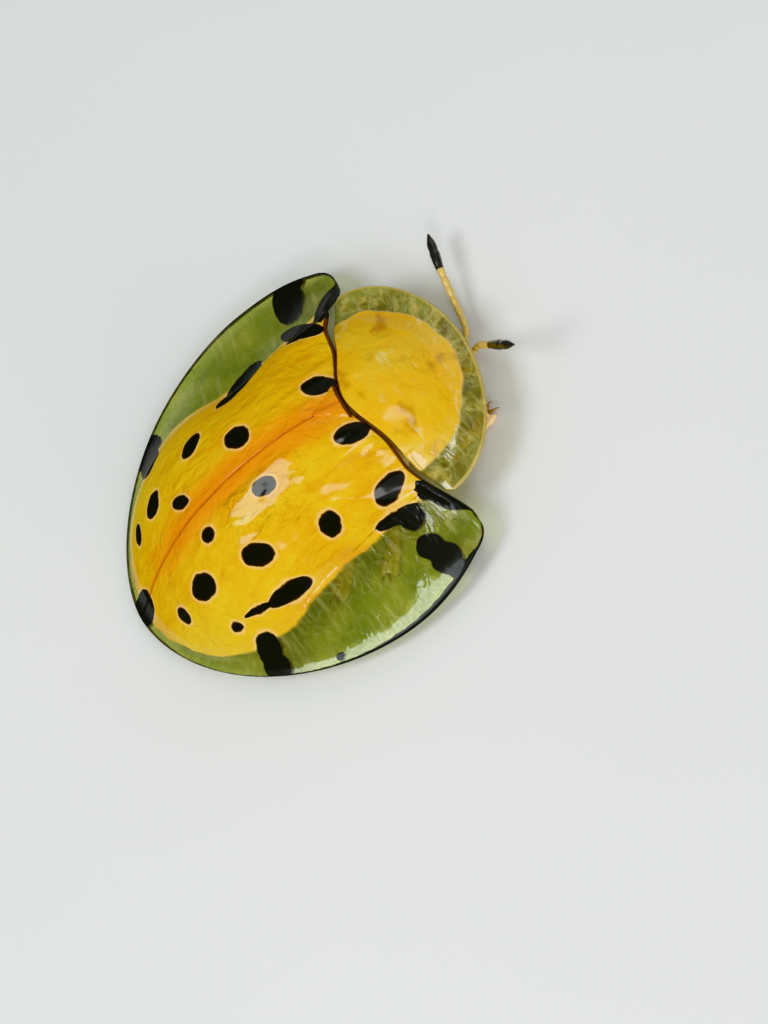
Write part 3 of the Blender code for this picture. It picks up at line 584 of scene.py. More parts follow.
class Finish:
    """A material, with the place on the animal in millimetres for its patterns."""

    def __init__(self, name, **constants):
        self.material = bpy.data.materials.new(name)
        self.material.use_nodes = True
        self.wiring = Wiring(self.material.node_tree)
        self.shader = self.material.node_tree.nodes["Principled BSDF"]
        for key, value in constants.items():
            self.shader.inputs[key.replace("_", " ")].default_value = value
        coordinates = self.wiring.add("ShaderNodeTexCoord").outputs["Object"]
        self.place = self.wiring.stretch(coordinates, (1 / MM, 1 / MM, 1 / MM))

    def set(self, key, value):
        """Wires one input of the shader."""
        self.wiring.wire(value, self.shader.inputs[key])

    def effect(self, tree, **values):
        """The outputs of a shared effect with its own values, at the place on the animal or another."""
        wires = {key.replace("_", " "): value for key, value in values.items()}
        return self.wiring.add("ShaderNodeGroup", {"Place": self.place, **wires}, node_tree=tree).outputs

    def soften_edges(self, least):
        """Lets the gloss fade to its least where the surface turns away from the eye."""
        turned = self.wiring.add("ShaderNodeLayerWeight", {"Blend": 0.5}).outputs["Facing"]
        self.set("Coat Weight", self.wiring.step(turned, 0.25, 0.65, 1.0, least))

    def relief(self, height):
        """Gives the surface a fine relief from a height in millimetres."""
        wires = {"Height": height, "Strength": 1.0, "Distance": MM}
        normal = self.wiring.add("ShaderNodeBump", wires).outputs["Normal"]
        self.set("Normal", normal)
        return normal


# Wing cases
# Black markings of each side: a and s of the middle, half the length, half the width, and the turn in
# degrees from the animal's length towards its side.
MARKINGS = {
    "right": {
        "front inner": (9.97, 1.09, 0.53, 0.33, 9),
        "front outer": (9.88, 2.95, 0.62, 0.28, -17),
        "middle inner": (6.92, 0.95, 0.42, 0.28, 10),
        "middle outer": (7.76, 2.75, 0.40, 0.27, -18),
        "crest rear": (4.43, 0.83, 0.28, 0.23, -10),
        "flank inner": (5.41, 2.26, 0.55, 0.31, 22),
        "flank outer": (5.33, 3.39, 0.79, 0.22, 3),
        "flank tail": (4.18, 3.22, 0.56, 0.09, 14),
        "rear large": (3.18, 1.71, 0.52, 0.38, 20),
        "rear small": (1.84, 1.60, 0.30, 0.20, 70),
        "edge dot": (3.19, 3.09, 0.23, 0.13, 22),
        "front corner": (10.66, 3.58, 0.30, 0.20, 16),
        "shoulder edge": (9.46, 3.58, 0.80, 0.16, 5),
        "shoulder foot": (9.78, 3.82, 0.42, 0.33, -1),
        "shoulder large": (9.66, 4.70, 0.46, 0.40, 24),
        "shoulder outer": (9.84, 5.20, 0.53, 0.48, 15),
        "shoulder rim": (9.98, 5.68, 0.42, 0.32, 33),
        "rear band inner": (3.47, 4.02, 0.52, 0.42, -32),
        "rear band outer": (3.32, 4.45, 0.50, 0.40, 29),
        "rim notch": (5.24, 5.46, 0.16, 0.12, 0),
        "tail": (0.35, 0.10, 0.62, 0.42, 0),
    },
    "left": {
        "front inner": (9.84, 0.86, 0.51, 0.33, -30),
        "front outer": (9.87, 3.25, 0.60, 0.28, -10),
        "middle inner": (6.94, 0.93, 0.48, 0.38, -37),
        "middle outer": (7.22, 3.38, 0.98, 0.48, 25),
        "crest rear": (4.13, 0.69, 0.37, 0.23, -34),
        "flank inner": (5.29, 2.05, 0.45, 0.33, 29),
        "rear large": (3.01, 1.68, 0.45, 0.36, 34),
        "rear small": (1.77, 1.66, 0.38, 0.24, 72),
        "front corner": (10.66, 3.45, 0.30, 0.24, 16),
        "shoulder foot": (9.83, 3.41, 1.05, 0.33, -41),
        "shoulder large": (9.64, 5.15, 0.92, 0.58, -89),
        "shoulder rim": (9.98, 5.72, 0.50, 0.30, -28),
        "rear band inner": (3.05, 3.70, 0.50, 0.60, 62),
        "rear band outer": (2.92, 4.42, 0.60, 0.80, 62),
        "tail": (0.35, 0.10, 0.62, 0.42, 0),
    },
}
FAR = 9.0
# Low forms on each side of the dome: height, a and s of the middle, and the reach along and across.
CASE_FORMS = {
    "shoulder bump": (0.13, 9.5, 3.0, 0.9, 0.55),
    "shoulder hollow": (-0.06, 9.5, 2.0, 0.7, 0.5),
    "hollow beside the seam": (-0.04, 8.4, 1.2, 0.9, 0.5),
}
CASE_FOLD_HEIGHT = 0.010
CASE_FOLD_SPACING = 0.62
CASE_CRINKLE = 0.018
CASE_ROWS = 190
CASE_COLUMNS = 120
CASE_WALL = 0.12
CASE_EDGE = 0.05
MARGIN_ROWS = 300
MARGIN_COLUMNS = 44
MARGIN_CROWDING = 1.4
MARGIN_WALL = 0.11
MARGIN_LIFT = 0.012
FLUTE_DEPTH = 0.03
FRONT_ROLL = 0.07
FAN_REACH = 4.5
MARGIN_ROOT_COLUMNS = 16
MARGIN_ROOT_REACH = 0.42
MARGIN_ROOT_ROUNDS = 24
ROOT_DIP = 0.09
# Width of the dark rim towards the tail, how much it gains forwards, and its width at the front corner. The
# dark rim is partly the margin's own dark edge and partly a painted shadow of the rim.
RIM_DARK_AND_SHADOW = 0.07
RIM_DARK_AND_SHADOW_GAIN = {"right": 0.12, "left": 0.06}
CORNER_BLACK = {"right": 0.04, "left": 0.17}
# Width of the dark front towards the dome and how far out that reaches, then the same towards the rim.
FRONT_BLACK = {"right": (0.46, 4.0, 0.03, 5.45), "left": (0.55, 3.6, 0.30, 5.0)}


def marking_distance(a, s, marks):
    """The way in millimetres to the nearest marking's edge, below 0 inside it."""
    nearest = np.full(a.shape, FAR)
    for middle_a, middle_s, half_length, half_width, degrees in marks.values():
        turn = math.radians(degrees)
        along = (a - middle_a) * math.cos(turn) + (s - middle_s) * math.sin(turn)
        across = (s - middle_s) * math.cos(turn) - (a - middle_a) * math.sin(turn)
        reach = np.maximum(np.hypot(along / half_length, across / half_width), 0.001)
        nearest = np.minimum(nearest, np.hypot(along, across) * (1 - 1 / reach))
    return nearest


def dome_plan(inset):
    """The a and s of a grid over one wing case's dome, from the seam out to the edge."""
    shares = np.linspace(0, 1, CASE_ROWS)
    rear = np.array([dome_edge_rear(inset, share) for share in np.linspace(0, 1, CASE_COLUMNS)])
    edge = np.array([dome_edge_side(inset, share) for share in shares])
    seam = np.stack((mix(rear[0, 0], case_front(SEAM), shares), np.full(CASE_ROWS, SEAM)), -1)
    front_s = mix(SEAM, edge[-1, 1], np.linspace(0, 1, CASE_COLUMNS))
    return patch(seam, edge, rear, np.stack((case_front(front_s), front_s), -1))


def case_relief(a, s):
    """Low forms on the dome: the shoulder's bump, two hollows, and long folds."""
    relief = CASE_CRINKLE * ripple(a * 0.6, s, 3.0, 0.55)
    for height, middle_a, middle_s, reach_a, reach_s in CASE_FORMS.values():
        relief = relief + height * lump((a - middle_a) / reach_a, (s - middle_s) / reach_s)
    turns = s / CASE_FOLD_SPACING + 0.9 * ripple(a, s, 0.0, 2.2)
    return relief + CASE_FOLD_HEIGHT * np.sin(2 * math.pi * turns) * smooth(a, 1.0, 3.0)


def dome_top(a, s):
    """Height of the dome's outer side with its low forms, which fade out towards its foot."""
    return dome_z(a, s, 0.0) + case_relief(a, s) * smooth(dome_half(a, 0.0) - s, 0.0, 0.5)


def wing_case(word, side, finish):
    """The opaque, domed middle of a wing case: a thin curved shell that meets the other at the seam."""
    plan = dome_plan(0.0)
    a, s = plan[..., 0], plan[..., 1]
    front = case_front(s) - a
    top = dome_top(a, s) - 0.5 * rounded(s - SEAM, CASE_EDGE) - rounded(front, CASE_EDGE)
    inner = dome_plan(CASE_WALL)
    under = dome_z(inner[..., 0], inner[..., 1], CASE_WALL)
    under = np.minimum(under, top - CASE_WALL * 0.5)
    values = {"marking": marking_distance(a, s, MARKINGS[word]), "front": front}
    mesh = plate("wing_case", places(side, plan, top), places(side, inner, under), values)
    return hand_over(f"wing_case_{word}", mesh, finish, [f"elytron_{word}"])


def margin_grid(edge, border, rows, columns, roots, crowding, reach):
    """A clear margin's grid. Its columns run from -1 at the root, by 0 at the dome's foot, to 1 at the rim.

    It tells the columns' shares, the a and s of the grid, of the feet and of the rim, and the widths.
    """
    out = 1 - np.linspace(1, 0, columns) ** crowding
    shares = np.concatenate((np.linspace(-1, 0, roots)[:-1], out))
    t = np.broadcast_to(shares, (len(rows), len(shares)))
    feet, hidden = (np.array([edge(inset, share) for share in rows]) for inset in (0.0, reach))
    outer = np.array([border(share) for share in rows])
    plan = mix(feet[:, None], outer[:, None], np.maximum(t, 0.0)[..., None])
    plan = plan + (hidden - feet)[:, None] * np.maximum(-t, 0.0)[..., None]
    return t, plan, feet, outer, np.linalg.norm(outer - feet, axis=1)[:, None]


def margin_plate(name, side, plan, z, t, edges, values):
    """A clear margin as a plate, rounded at its free edges and thinned out towards its hidden root."""
    round_off = np.minimum(sum(rounded(way, MARGIN_WALL / 2) for way in edges), MARGIN_WALL * 0.48)
    round_off = round_off * smooth(t, -0.9, -0.2)
    under = z - MARGIN_WALL * smooth(t, -1.0, 0.0) - MARGIN_LIFT + round_off
    return plate(name, places(side, plan, z - round_off), places(side, plan, under), values)


def rim_black(word, plan, to_rim, to_front):
    """The way to the edge of a margin's nearest black: a marking, the dark rim, which is partly painted
    shadow, or the dark front.
    """
    a, s = plan[..., 0], plan[..., 1]
    # The dark rim is partly the margin's own dark edge and partly a painted shadow of the rim.
    dark_rim_and_shadow_width = RIM_DARK_AND_SHADOW + RIM_DARK_AND_SHADOW_GAIN[word] * smooth(a, 3.0, 8.5)
    dark_rim_and_shadow_width = mix(dark_rim_and_shadow_width, CORNER_BLACK[word], smooth(a, 10.4, 10.9))
    inner_black, inner_s, outer_black, outer_s = FRONT_BLACK[word]
    front_width = mix(inner_black, outer_black, smooth(s, inner_s, outer_s))
    black = marking_distance(a, s, MARKINGS[word])
    return np.minimum(black, np.minimum(to_rim - dark_rim_and_shadow_width, to_front - front_width))


def wing_margin(word, side, finish):
    """The clear margin of a wing case, from the dome's foot out to the thin black rim, which is partly
    painted shadow.
    """
    rows = np.linspace(0, 1, MARGIN_ROWS)
    sizes = (MARGIN_COLUMNS, MARGIN_ROOT_COLUMNS, MARGIN_CROWDING, MARGIN_ROOT_REACH)
    t, plan, feet, outer, width = margin_grid(dome_edge, rim, rows, *sizes)
    follow = smooth(rows, 0.72, 1.0)[:, None] * (1 - smooth(t, 0.85, 1.0))
    plan[..., 0] += (case_front(plan[..., 1]) - plan[..., 0]) * follow
    to_rim = (1 - t) * width
    to_front, to_seam = (np.linalg.norm(plan - end, axis=2) for end in (plan[-1:], plan[:1]))
    behind = DOME_WIDEST - plan[..., 0]
    along = np.where(behind < 0, -behind, -FAN_REACH * np.arctan2(behind, plan[..., 1]))
    low = rim_z(outer[:, 0])[:, None]
    z = low + (dome_edge_z(feet[:, 0])[:, None] - low) * margin_fall(np.maximum(t, 0.0), width)
    z = eased(np.where(t < 0, dome_top(plan[..., 0], plan[..., 1]), z), MARGIN_ROOT_ROUNDS)
    z = z + mix(-ROOT_DIP, MARGIN_LIFT, smooth(t, -1.0, -0.3))
    flute = ripple(along * 1.4, t * width * 0.35, side, 1.0)
    z = z + FLUTE_DEPTH * flute * smooth(t, 0.0, 0.3) * smooth(to_rim, 0.5, 1.1)
    z = z + FRONT_ROLL * lump((to_front - 0.17) / 0.13)
    across = np.where(t > 0, t * width, t * MARGIN_ROOT_REACH)
    values = {"marking": rim_black(word, plan, to_rim, to_front)}
    values.update({"along": along, "across": across, "to_rim": to_rim})
    mesh = margin_plate("wing_margin", side, plan, z, t, (to_rim, to_front, to_seam), values)
    return hand_over(f"wing_margin_{word}", mesh, finish, [f"elytron_{word}_margin"])


# Neck shield and little shield
SHIELD_WIDEST = 11.3
SHIELD_HALF = 3.85
SHIELD_POWER = 1.9
SHIELD_CORNER = 3.70
SHIELD_TURN_SHARE = 0.92
SHIELD_RIM_Z = 1.58
SHIELD_RIM_RISE = 0.20
BOSS_WIDEST = 11.0
BOSS_FRONT = 2.4
BOSS_HALF = 2.75
BOSS_POWER = 1.9
BOSS_TURN = math.radians(72)
BOSS_TURN_SHARE = 0.82
BOSS_TOP = 3.50
BOSS_TOP_START = 10.1
BOSS_CREST_POWER = 1.55
BOSS_FLANK_POWER = 2.3
BOSS_FOOT_Z = 1.80
BOSS_FOOT_RISE = 0.42
SHIELD_ROWS = 150
BOSS_COLUMNS = 80
SHIELD_RIM_ROWS = 300
SHIELD_RIM_COLUMNS = 40
SHIELD_RIM_CROWDING = 1.2
SHIELD_FALL_POWER = 1.3
SHIELD_ROOT_COLUMNS = 26
SHIELD_ROOT_REACH = 0.8
SHIELD_ROOT_ROUNDS = 40
LITTLE_ROWS = 30
LITTLE_COLUMNS = 41
LITTLE_WALL = 0.25


def boss_half(a, inset):
    """Half the width of the neck shield's raised middle."""
    share = np.clip((a - BOSS_WIDEST) / (BOSS_FRONT - inset), 0.0, 1.0)
    return (BOSS_HALF - inset) * (1 - share**BOSS_POWER) ** (1 / BOSS_POWER)


def boss_foot_z(a):
    """Height of the line where the raised middle meets the clear margin."""
    return BOSS_FOOT_Z + BOSS_FOOT_RISE * (1 - smooth(a, 10.8, BOSS_WIDEST + BOSS_FRONT))


def boss_z(a, s, inset):
    """Height of the neck shield's raised middle, or of a surface inset under it."""
    foot = boss_foot_z(a)
    end = BOSS_WIDEST + BOSS_FRONT - inset
    share = np.clip((a - BOSS_TOP_START) / (end - BOSS_TOP_START), 0.0, 1.0)
    crest = BOSS_TOP - inset - (BOSS_TOP - inset - foot) * share**BOSS_CREST_POWER
    out = np.clip(abs(s) / np.maximum(boss_half(a, inset), 0.001), 0.0, 1.0)
    return foot + np.maximum(crest - foot, 0.0) * (1 - out**BOSS_FLANK_POWER)


def boss_edge(inset, share):
    """The edge of the raised middle, from one hind corner at -1 round the front to the other."""
    turn = BOSS_TURN_SHARE
    reach = (BOSS_FRONT - inset, BOSS_HALF - inset, BOSS_POWER)
    if abs(share) <= turn:
        return bow(*reach, BOSS_TURN * share / turn) + (BOSS_WIDEST, 0)
    corner_s = BOSS_HALF - inset
    corner = (base_line(corner_s) + BASE_GAP, corner_s)
    end = bow(*reach, BOSS_TURN) + (BOSS_WIDEST, 0)
    a, s = mix(end, corner, (abs(share) - turn) / (1 - turn))
    return np.array((a, math.copysign(s, share)))


def shield_rim(share):
    """The outer rim of the neck shield, from one hind corner at -1 round the front to the other."""
    turn = SHIELD_TURN_SHARE
    if abs(share) <= turn:
        reach = bow(BODY_LENGTH - SHIELD_WIDEST, SHIELD_HALF, SHIELD_POWER, math.pi / 2 * share / turn)
        return reach + (SHIELD_WIDEST, 0)
    corner = (base_line(SHIELD_CORNER) + BASE_GAP, SHIELD_CORNER)
    a, s = mix((SHIELD_WIDEST, SHIELD_HALF), corner, (abs(share) - turn) / (1 - turn))
    return np.array((a, math.copysign(s, share)))


def shield_rim_z(a):
    """Height of the neck shield's rim."""
    return SHIELD_RIM_Z + SHIELD_RIM_RISE * (1 - smooth(a, 11.0, 13.5))


def boss_plan(inset):
    """The a and s of a grid over the raised middle, from its hind edge to its front."""
    shares = np.linspace(-1, 1, SHIELD_ROWS)
    hind_s = (BOSS_HALF - inset) * np.sin(math.pi / 2 * shares)
    hind = np.stack((base_line(abs(hind_s)) + BASE_GAP, hind_s), -1)
    front = [boss_edge(inset, BOSS_TURN_SHARE * share) for share in shares]
    flank = np.linspace(1, BOSS_TURN_SHARE, BOSS_COLUMNS)
    right = [boss_edge(inset, -share) for share in flank]
    left = [boss_edge(inset, share) for share in flank]
    return patch(hind, front, right, left)


def neck_shield(finish):
    """The golden, raised middle of the neck shield."""
    plan = boss_plan(0.0)
    a, s = plan[..., 0], plan[..., 1]
    hind = a - base_line(abs(s)) - BASE_GAP
    swell = 0.035 * ripple(a, s, 7.0, 1.1)
    dimples = 0.05 * sum(lump((a - 11.3) / 0.5, (s - way * 1.5) / 0.6) for way in (-1, 1))
    calm = smooth(np.linalg.norm(plan - plan[:, -1:], axis=2), 0.0, 0.5)
    top = boss_z(a, s, 0.0) + (swell - dimples) * calm - rounded(hind, CASE_EDGE)
    inner = boss_plan(CASE_WALL)
    under = np.minimum(boss_z(inner[..., 0], inner[..., 1], CASE_WALL), top - CASE_WALL * 0.5)
    mesh = plate("neck_shield", places(1, plan, top), places(1, inner, under), {"hind": hind})
    return hand_over("neck_shield", mesh, finish, ["pronotum"])


def neck_shield_margin(finish):
    """The clear margin round the front and sides of the neck shield."""
    rows = np.linspace(-1, 1, SHIELD_RIM_ROWS)
    sizes = (SHIELD_RIM_COLUMNS, SHIELD_ROOT_COLUMNS, SHIELD_RIM_CROWDING, SHIELD_ROOT_REACH)
    t, plan, feet, outer, width = margin_grid(boss_edge, shield_rim, rows, *sizes)
    to_rim = (1 - t) * width
    to_hind = np.minimum(*(np.linalg.norm(plan - end, axis=2) for end in (plan[:1], plan[-1:])))
    along = np.concatenate(([0.0], np.cumsum(np.linalg.norm(np.diff(outer, axis=0), axis=1))))
    along = np.broadcast_to(along[:, None], t.shape)
    root, low = boss_foot_z(feet[:, 0])[:, None], shield_rim_z(outer[:, 0])[:, None]
    z = low + (root - low) * (1 - np.maximum(t, 0.0)) ** SHIELD_FALL_POWER
    z = eased(np.where(t < 0, boss_z(plan[..., 0], plan[..., 1], 0.0), z), SHIELD_ROOT_ROUNDS)
    z = z + mix(-ROOT_DIP, MARGIN_LIFT, smooth(t, -1.0, -0.35))
    flute = ripple(along * 1.2, t * width * 0.5, 5.0, 0.9)
    z = z + FLUTE_DEPTH * flute * smooth(t, 0.0, 0.3) * smooth(to_rim, 0.0, 0.4)
    values = {"along": along, "across": np.where(t > 0, t * width, t * SHIELD_ROOT_REACH), "to_rim": to_rim}
    mesh = margin_plate("neck_shield_margin", 1, plan, z, t, (to_rim, to_hind), values)
    return hand_over("neck_shield_margin", mesh, finish, ["pronotum_margin"])


def little_shield(finish):
    """The small triangular plate between the wing cases and the neck shield."""
    front = BASE_MIDDLE - BASE_GAP
    rows = mix(NOTCH_TIP - 0.02, front, np.linspace(0, 1, LITTLE_ROWS))
    a = np.broadcast_to(rows[:, None], (LITTLE_ROWS, LITTLE_COLUMNS))
    out = np.linspace(-1, 1, LITTLE_COLUMNS)[None]
    s = out * ((a - NOTCH_TIP) / (front - NOTCH_TIP) * NOTCH_HALF + 0.07)
    plan = np.stack((a, s), -1)
    crown = 0.07 * (1 - out**2) + 0.02 * ripple(a, s, 0.0, 0.3)
    z = dome_z(a, abs(s), 0.0) + 0.002 + crown
    values = {"marking": np.full_like(z, FAR), "front": front - a}
    mesh = plate("little_shield", places(1, plan, z), places(1, plan, z - LITTLE_WALL), values)
    return hand_over("little_shield", mesh, finish, ["scutellum"])


# Trunk, head and eyes
TRUNK_START = 1.25
TRUNK_END = 12.45
TRUNK_STATIONS = 60
TRUNK_SIDES = 40
TRUNK_INSET = 0.34
TRUNK_FORE_INSET = 0.65
TRUNK_TAIL_LOSS = 0.55
TRUNK_CELL = 0.06
SHELL_GAP = 0.08
BELLY_Z = 0.98
BELLY_TAIL_DROP = 0.30
BELLY_NECK_DROP = 0.40
BELLY_SIDE_DROP = 0.45
BELLY_POWER = 2.5
NECK_START = 11.3
NECK_HALF = 0.62
NECK_TOP = 0.42
BELLY_RINGS = (2.75, 3.65, 4.50, 5.35, 6.25)
CHEST_LINES = (8.15, 10.35)
HIP_SIZE = (0.50, 0.62, 0.30)
HEAD_A = 12.90
HEAD_Z = 0.66
HEAD_CELL = 0.02
EYE_MIDDLE = (12.93, 0.66, 0.70)
EYE_SIZE = (0.33, 0.25, 0.37)
# Forms of the head: how far each is forward of the head's middle, out from it and above it, and its radii.
HEAD_FORMS = {
    "brow": ((0.0, 0.0, 0.0), (0.62, 0.44, 0.40)),
    "face": ((0.22, 0.0, -0.06), (0.34, 0.28, 0.30)),
    "nape": ((-0.25, 0.0, 0.02), (0.55, 0.40, 0.36)),
    "upper lip": ((0.30, 0.0, -0.28), (0.22, 0.14, 0.12)),
}
HEAD_PAIRS = {
    "feeler socket": ((0.36, 0.17, 0.14), (0.14, 0.14, 0.14)),
    "cheek": ((0.05, 0.42, -0.16), (0.20, 0.24, 0.18)),
}
# Limbs of the mouth: three places along each, and its radii at the root and the end.
MOUTH_LIMBS = {
    "jaw": (((0.26, 0.24, -0.32), (0.42, 0.22, -0.38), (0.52, 0.06, -0.40)), (0.10, 0.03)),
    "palp": (((0.22, 0.34, -0.34), (0.42, 0.40, -0.42), (0.58, 0.34, -0.46)), (0.055, 0.04)),
}


def trunk_half(a):
    """Half the width of the body under the wing cases and the neck shield, down to the neck."""
    fore = mix(dome_half(a, 0.0) - TRUNK_INSET, BOSS_HALF - TRUNK_FORE_INSET, smooth(a, 9.6, 10.8))
    tail_share = 1 - TRUNK_TAIL_LOSS * smooth(a, 2.6, TRUNK_START)
    return mix(fore, NECK_HALF, smooth(a, NECK_START, TRUNK_END)) * tail_share


def trunk_top(a, s):
    """Height of the trunk's upper side, just under what covers it."""
    back = dome_z(a, s, TRUNK_INSET) - SHELL_GAP
    fore = boss_z(a, s, TRUNK_INSET) - SHELL_GAP
    neck = HEAD_Z + NECK_TOP
    return mix(mix(back, np.minimum(back, fore), smooth(a, 9.6, 10.3)), neck, smooth(a, 11.0, TRUNK_END))


def trunk_belly(a, s):
    """Height of the trunk's underside."""
    middle = BELLY_Z - BELLY_TAIL_DROP * (1 - smooth(a, 1.5, 6.0))
    middle = middle - BELLY_NECK_DROP * smooth(a, 11.0, TRUNK_END)
    side = mix(dome_edge_z(a), boss_foot_z(a), smooth(a, 9.8, 10.6)) - BELLY_SIDE_DROP
    side = mix(side, middle + 0.1, smooth(a, NECK_START, TRUNK_END))
    return middle + (side - middle) * np.clip(s / trunk_half(a), 0.0, 1.0) ** BELLY_POWER


def belly_grooves(a, s):
    """Depth of the lines between the plates of the underside."""
    rings = sum(0.07 * lump((a - line - 0.03 * s**2) / 0.06) for line in BELLY_RINGS)
    chest = sum(0.08 * lump((a - line + 0.10 * s) / 0.07) for line in CHEST_LINES)
    middle = 0.06 * lump(s / 0.07) * smooth(a, 6.4, 6.7) * (1 - smooth(a, 8.0, 8.2))
    return rings + chest + middle


def at_hip(side, hip, lift):
    """A place at a leg's hip, lifted from the underside."""
    a, s = hip
    return place(side, a, s, float(trunk_belly(a, s)) + lift)


def trunk_form():
    """The trunk as rings from the tail to the neck, with the lumps of the hips."""
    form = bmesh.new()
    angles = [2 * math.pi * (k + 0.5) / TRUNK_SIDES for k in range(TRUNK_SIDES)]
    rings = []
    for a in np.linspace(TRUNK_START, TRUNK_END, TRUNK_STATIONS):
        half = float(trunk_half(a))
        ring = []
        for angle in angles:
            s = half * math.copysign(abs(math.cos(angle)) ** 0.8, math.cos(angle))
            height = trunk_top(a, abs(s)) if math.sin(angle) > 0 else trunk_belly(a, abs(s))
            ring.append(form.verts.new(place(1, a, s, float(height))))
        rings.append(ring)
    join_rings(form, rings)
    for side in SIDES.values():
        for joint in LEGS.values():
            add_lump(form, at_hip(side, joint["hip"], 0.12), HIP_SIZE)
    return form


def trunk_skin(finish):
    """One skin over abdomen, thorax and fore body, with the plates of the underside."""
    mesh = melted("trunk_skin", trunk_form(), TRUNK_CELL, rounds=6)
    down = np.clip(-corners_of(mesh, "normal")[:, 2], 0.0, 1.0)
    corners = corners_of(mesh)
    corners[:, 2] += belly_grooves(TAIL_Y - corners[:, 1], abs(corners[:, 0])) * down
    move_corners(mesh, corners)
    return hand_over("trunk_skin", mesh, finish, ["abdomen", "thorax", "prothorax"])


def on_head(side, ahead, out, up):
    """A place told from the head's middle."""
    return place(side, HEAD_A + ahead, out, HEAD_Z + up)


def head_skin(finish):
    """The head: brow, feeler sockets, cheeks, upper lip, jaws and palps."""
    form = bmesh.new()
    for spot, sizes in HEAD_FORMS.values():
        add_lump(form, on_head(1, *spot), sizes)
    for side in SIDES.values():
        for spot, sizes in HEAD_PAIRS.values():
            add_lump(form, on_head(side, *spot), sizes)
        for spots, radii in MOUTH_LIMBS.values():
            path = curve_points([on_head(side, *spot) for spot in spots], 8)
            add_sweep(form, path, radii_between(*radii, len(path)))
    mesh = melted("head_skin", form, HEAD_CELL, rounds=5)
    return hand_over("head_skin", mesh, finish, ["head"])


def eye_lens(word, side, finish):
    """A black eye on the side of the head."""
    form = bmesh.new()
    turn = heading(Vector((side * 0.35, -1, 0)))
    add_lump(form, place(side, *EYE_MIDDLE), EYE_SIZE, turn, around=56, up=40)
    mesh = finish_mesh(from_form("eye", form))
    return hand_over(f"eye_lens_{word}", mesh, finish, [f"eye_{word}"])


# Feelers
FEELERS = {
    "left": {
        "root": (13.20, 0.30, 0.76),
        "bend": (13.88, 0.30, 0.54),
        "neck": (14.32, 2.87, 0.90),
        "tip": (14.60, 4.04, 0.98),
    },
    "right": {
        "root": (13.20, 0.30, 0.78),
        "bend": (14.00, -0.05, 0.80),
        "neck": (14.66, 0.80, 1.80),
        "tip": (15.42, 1.60, 2.42),
    },
}
FEELER_ELBOW = 0.30
FEELER_POINTS = 30
STEM_FORM = {"Joints": 9, "Steps": 12, "Sides": 18, "Root": 0.10, "End": 0.125, "Pinch": 0.25}
CLUB_FORM = {"Joints": 2, "Steps": 18, "Sides": 22, "Root": 0.15, "End": 0.19, "Pinch": 0.14, "Taper": 0.97}
CLUB_BOW = 0.05
CLUB_OVERLAP = 0.03


def new_growth(name, inputs):
    """An empty tree that makes a piece from a curve or mesh, and the outputs of its input node."""
    tree = bpy.data.node_groups.new(name, "GeometryNodeTree")
    socket = tree.interface.new_socket
    socket("Geometry", in_out="INPUT", socket_type="NodeSocketGeometry")
    for key, value in inputs.items():
        kind = {int: "NodeSocketInt", float: "NodeSocketFloat"}.get(type(value), value)
        made = socket(key, in_out="INPUT", socket_type=kind)
        if kind != value:
            made.default_value = value
    socket("Geometry", in_out="OUTPUT", socket_type="NodeSocketGeometry")
    wiring = Wiring(tree)
    return wiring, wiring.add("NodeGroupInput").outputs


def close_growth(wiring, geometry, finish):
    """Ends a tree with real geometry in one finish."""
    real = wiring.add("GeometryNodeRealizeInstances", {"Geometry": geometry}).outputs["Geometry"]
    done = wiring.add("GeometryNodeSetMaterial", {"Geometry": real, "Material": finish})
    return close_group(wiring, {"Geometry": done.outputs["Geometry"]})


def ringed_limb():
    """A tree that turns a path into a limb of joints, each narrow at its root and wide at its end."""
    inputs = {"Joints": 9, "Steps": 10, "Sides": 16, "Root": 0.1, "End": 0.15, "Pinch": 0.3, "Taper": 0.0}
    wiring, given = new_growth("Ringed limb", {**inputs, "Finish": "NodeSocketMaterial"})
    wires = {"Curve": given["Geometry"], "Count": wiring.times(given["Joints"], given["Steps"])}
    path = wiring.add("GeometryNodeResampleCurve", wires).outputs["Curve"]
    share = wiring.add("GeometryNodeSplineParameter").outputs["Factor"]
    phase = wiring.times(share, wiring.math("SUBTRACT", given["Joints"], 0.001))
    phase = wiring.math("FRACT", phase)
    thick = wiring.step(share, 0.0, 1.0, given["Root"], given["End"])
    lowest = wiring.math("SUBTRACT", 1.0, given["Pinch"])
    profile = wiring.times(wiring.step(phase, 0.0, 0.55, lowest), wiring.step(phase, 0.88, 1.0, 1.0, lowest))
    fade = wiring.times(wiring.step(share, 0.35, 1.0), given["Taper"])
    end = wiring.math("SQRT", wiring.math("SUBTRACT", 1.0, wiring.math("POWER", fade, 2.0)))
    radius = wiring.times(wiring.times(thick, profile), end)
    ring = wiring.add("GeometryNodeCurvePrimitiveCircle", {"Resolution": given["Sides"], "Radius": 1.0})
    wires = {"Curve": path, "Profile Curve": ring.outputs["Curve"], "Scale": radius, "Fill Caps": True}
    limb = wiring.add("GeometryNodeCurveToMesh", wires).outputs["Mesh"]
    return close_growth(wiring, limb, given["Finish"])


def give(modifier, tree, values):
    """Sets a tree's inputs on a modifier by their identifiers."""
    modifier.node_group = tree
    for item in tree.interface.items_tree:
        if item.item_type == "SOCKET" and item.in_out == "INPUT" and item.name in values:
            modifier[item.identifier] = values[item.name]


def grown(name, data, tree, values):
    """The plain mesh that a tree makes from a curve or mesh."""
    piece = new_object(name, data)
    give(piece.modifiers.new("growth", "NODES"), tree, values)
    return settled(piece)


def path_curve(name, points):
    """A curve along some points."""
    curve = bpy.data.curves.new(name, "CURVE")
    curve.dimensions = "3D"
    line = curve.splines.new("POLY")
    line.points.add(len(points) - 1)
    for spot, point in zip(line.points, points):
        spot.co = (*point, 1.0)
    return curve


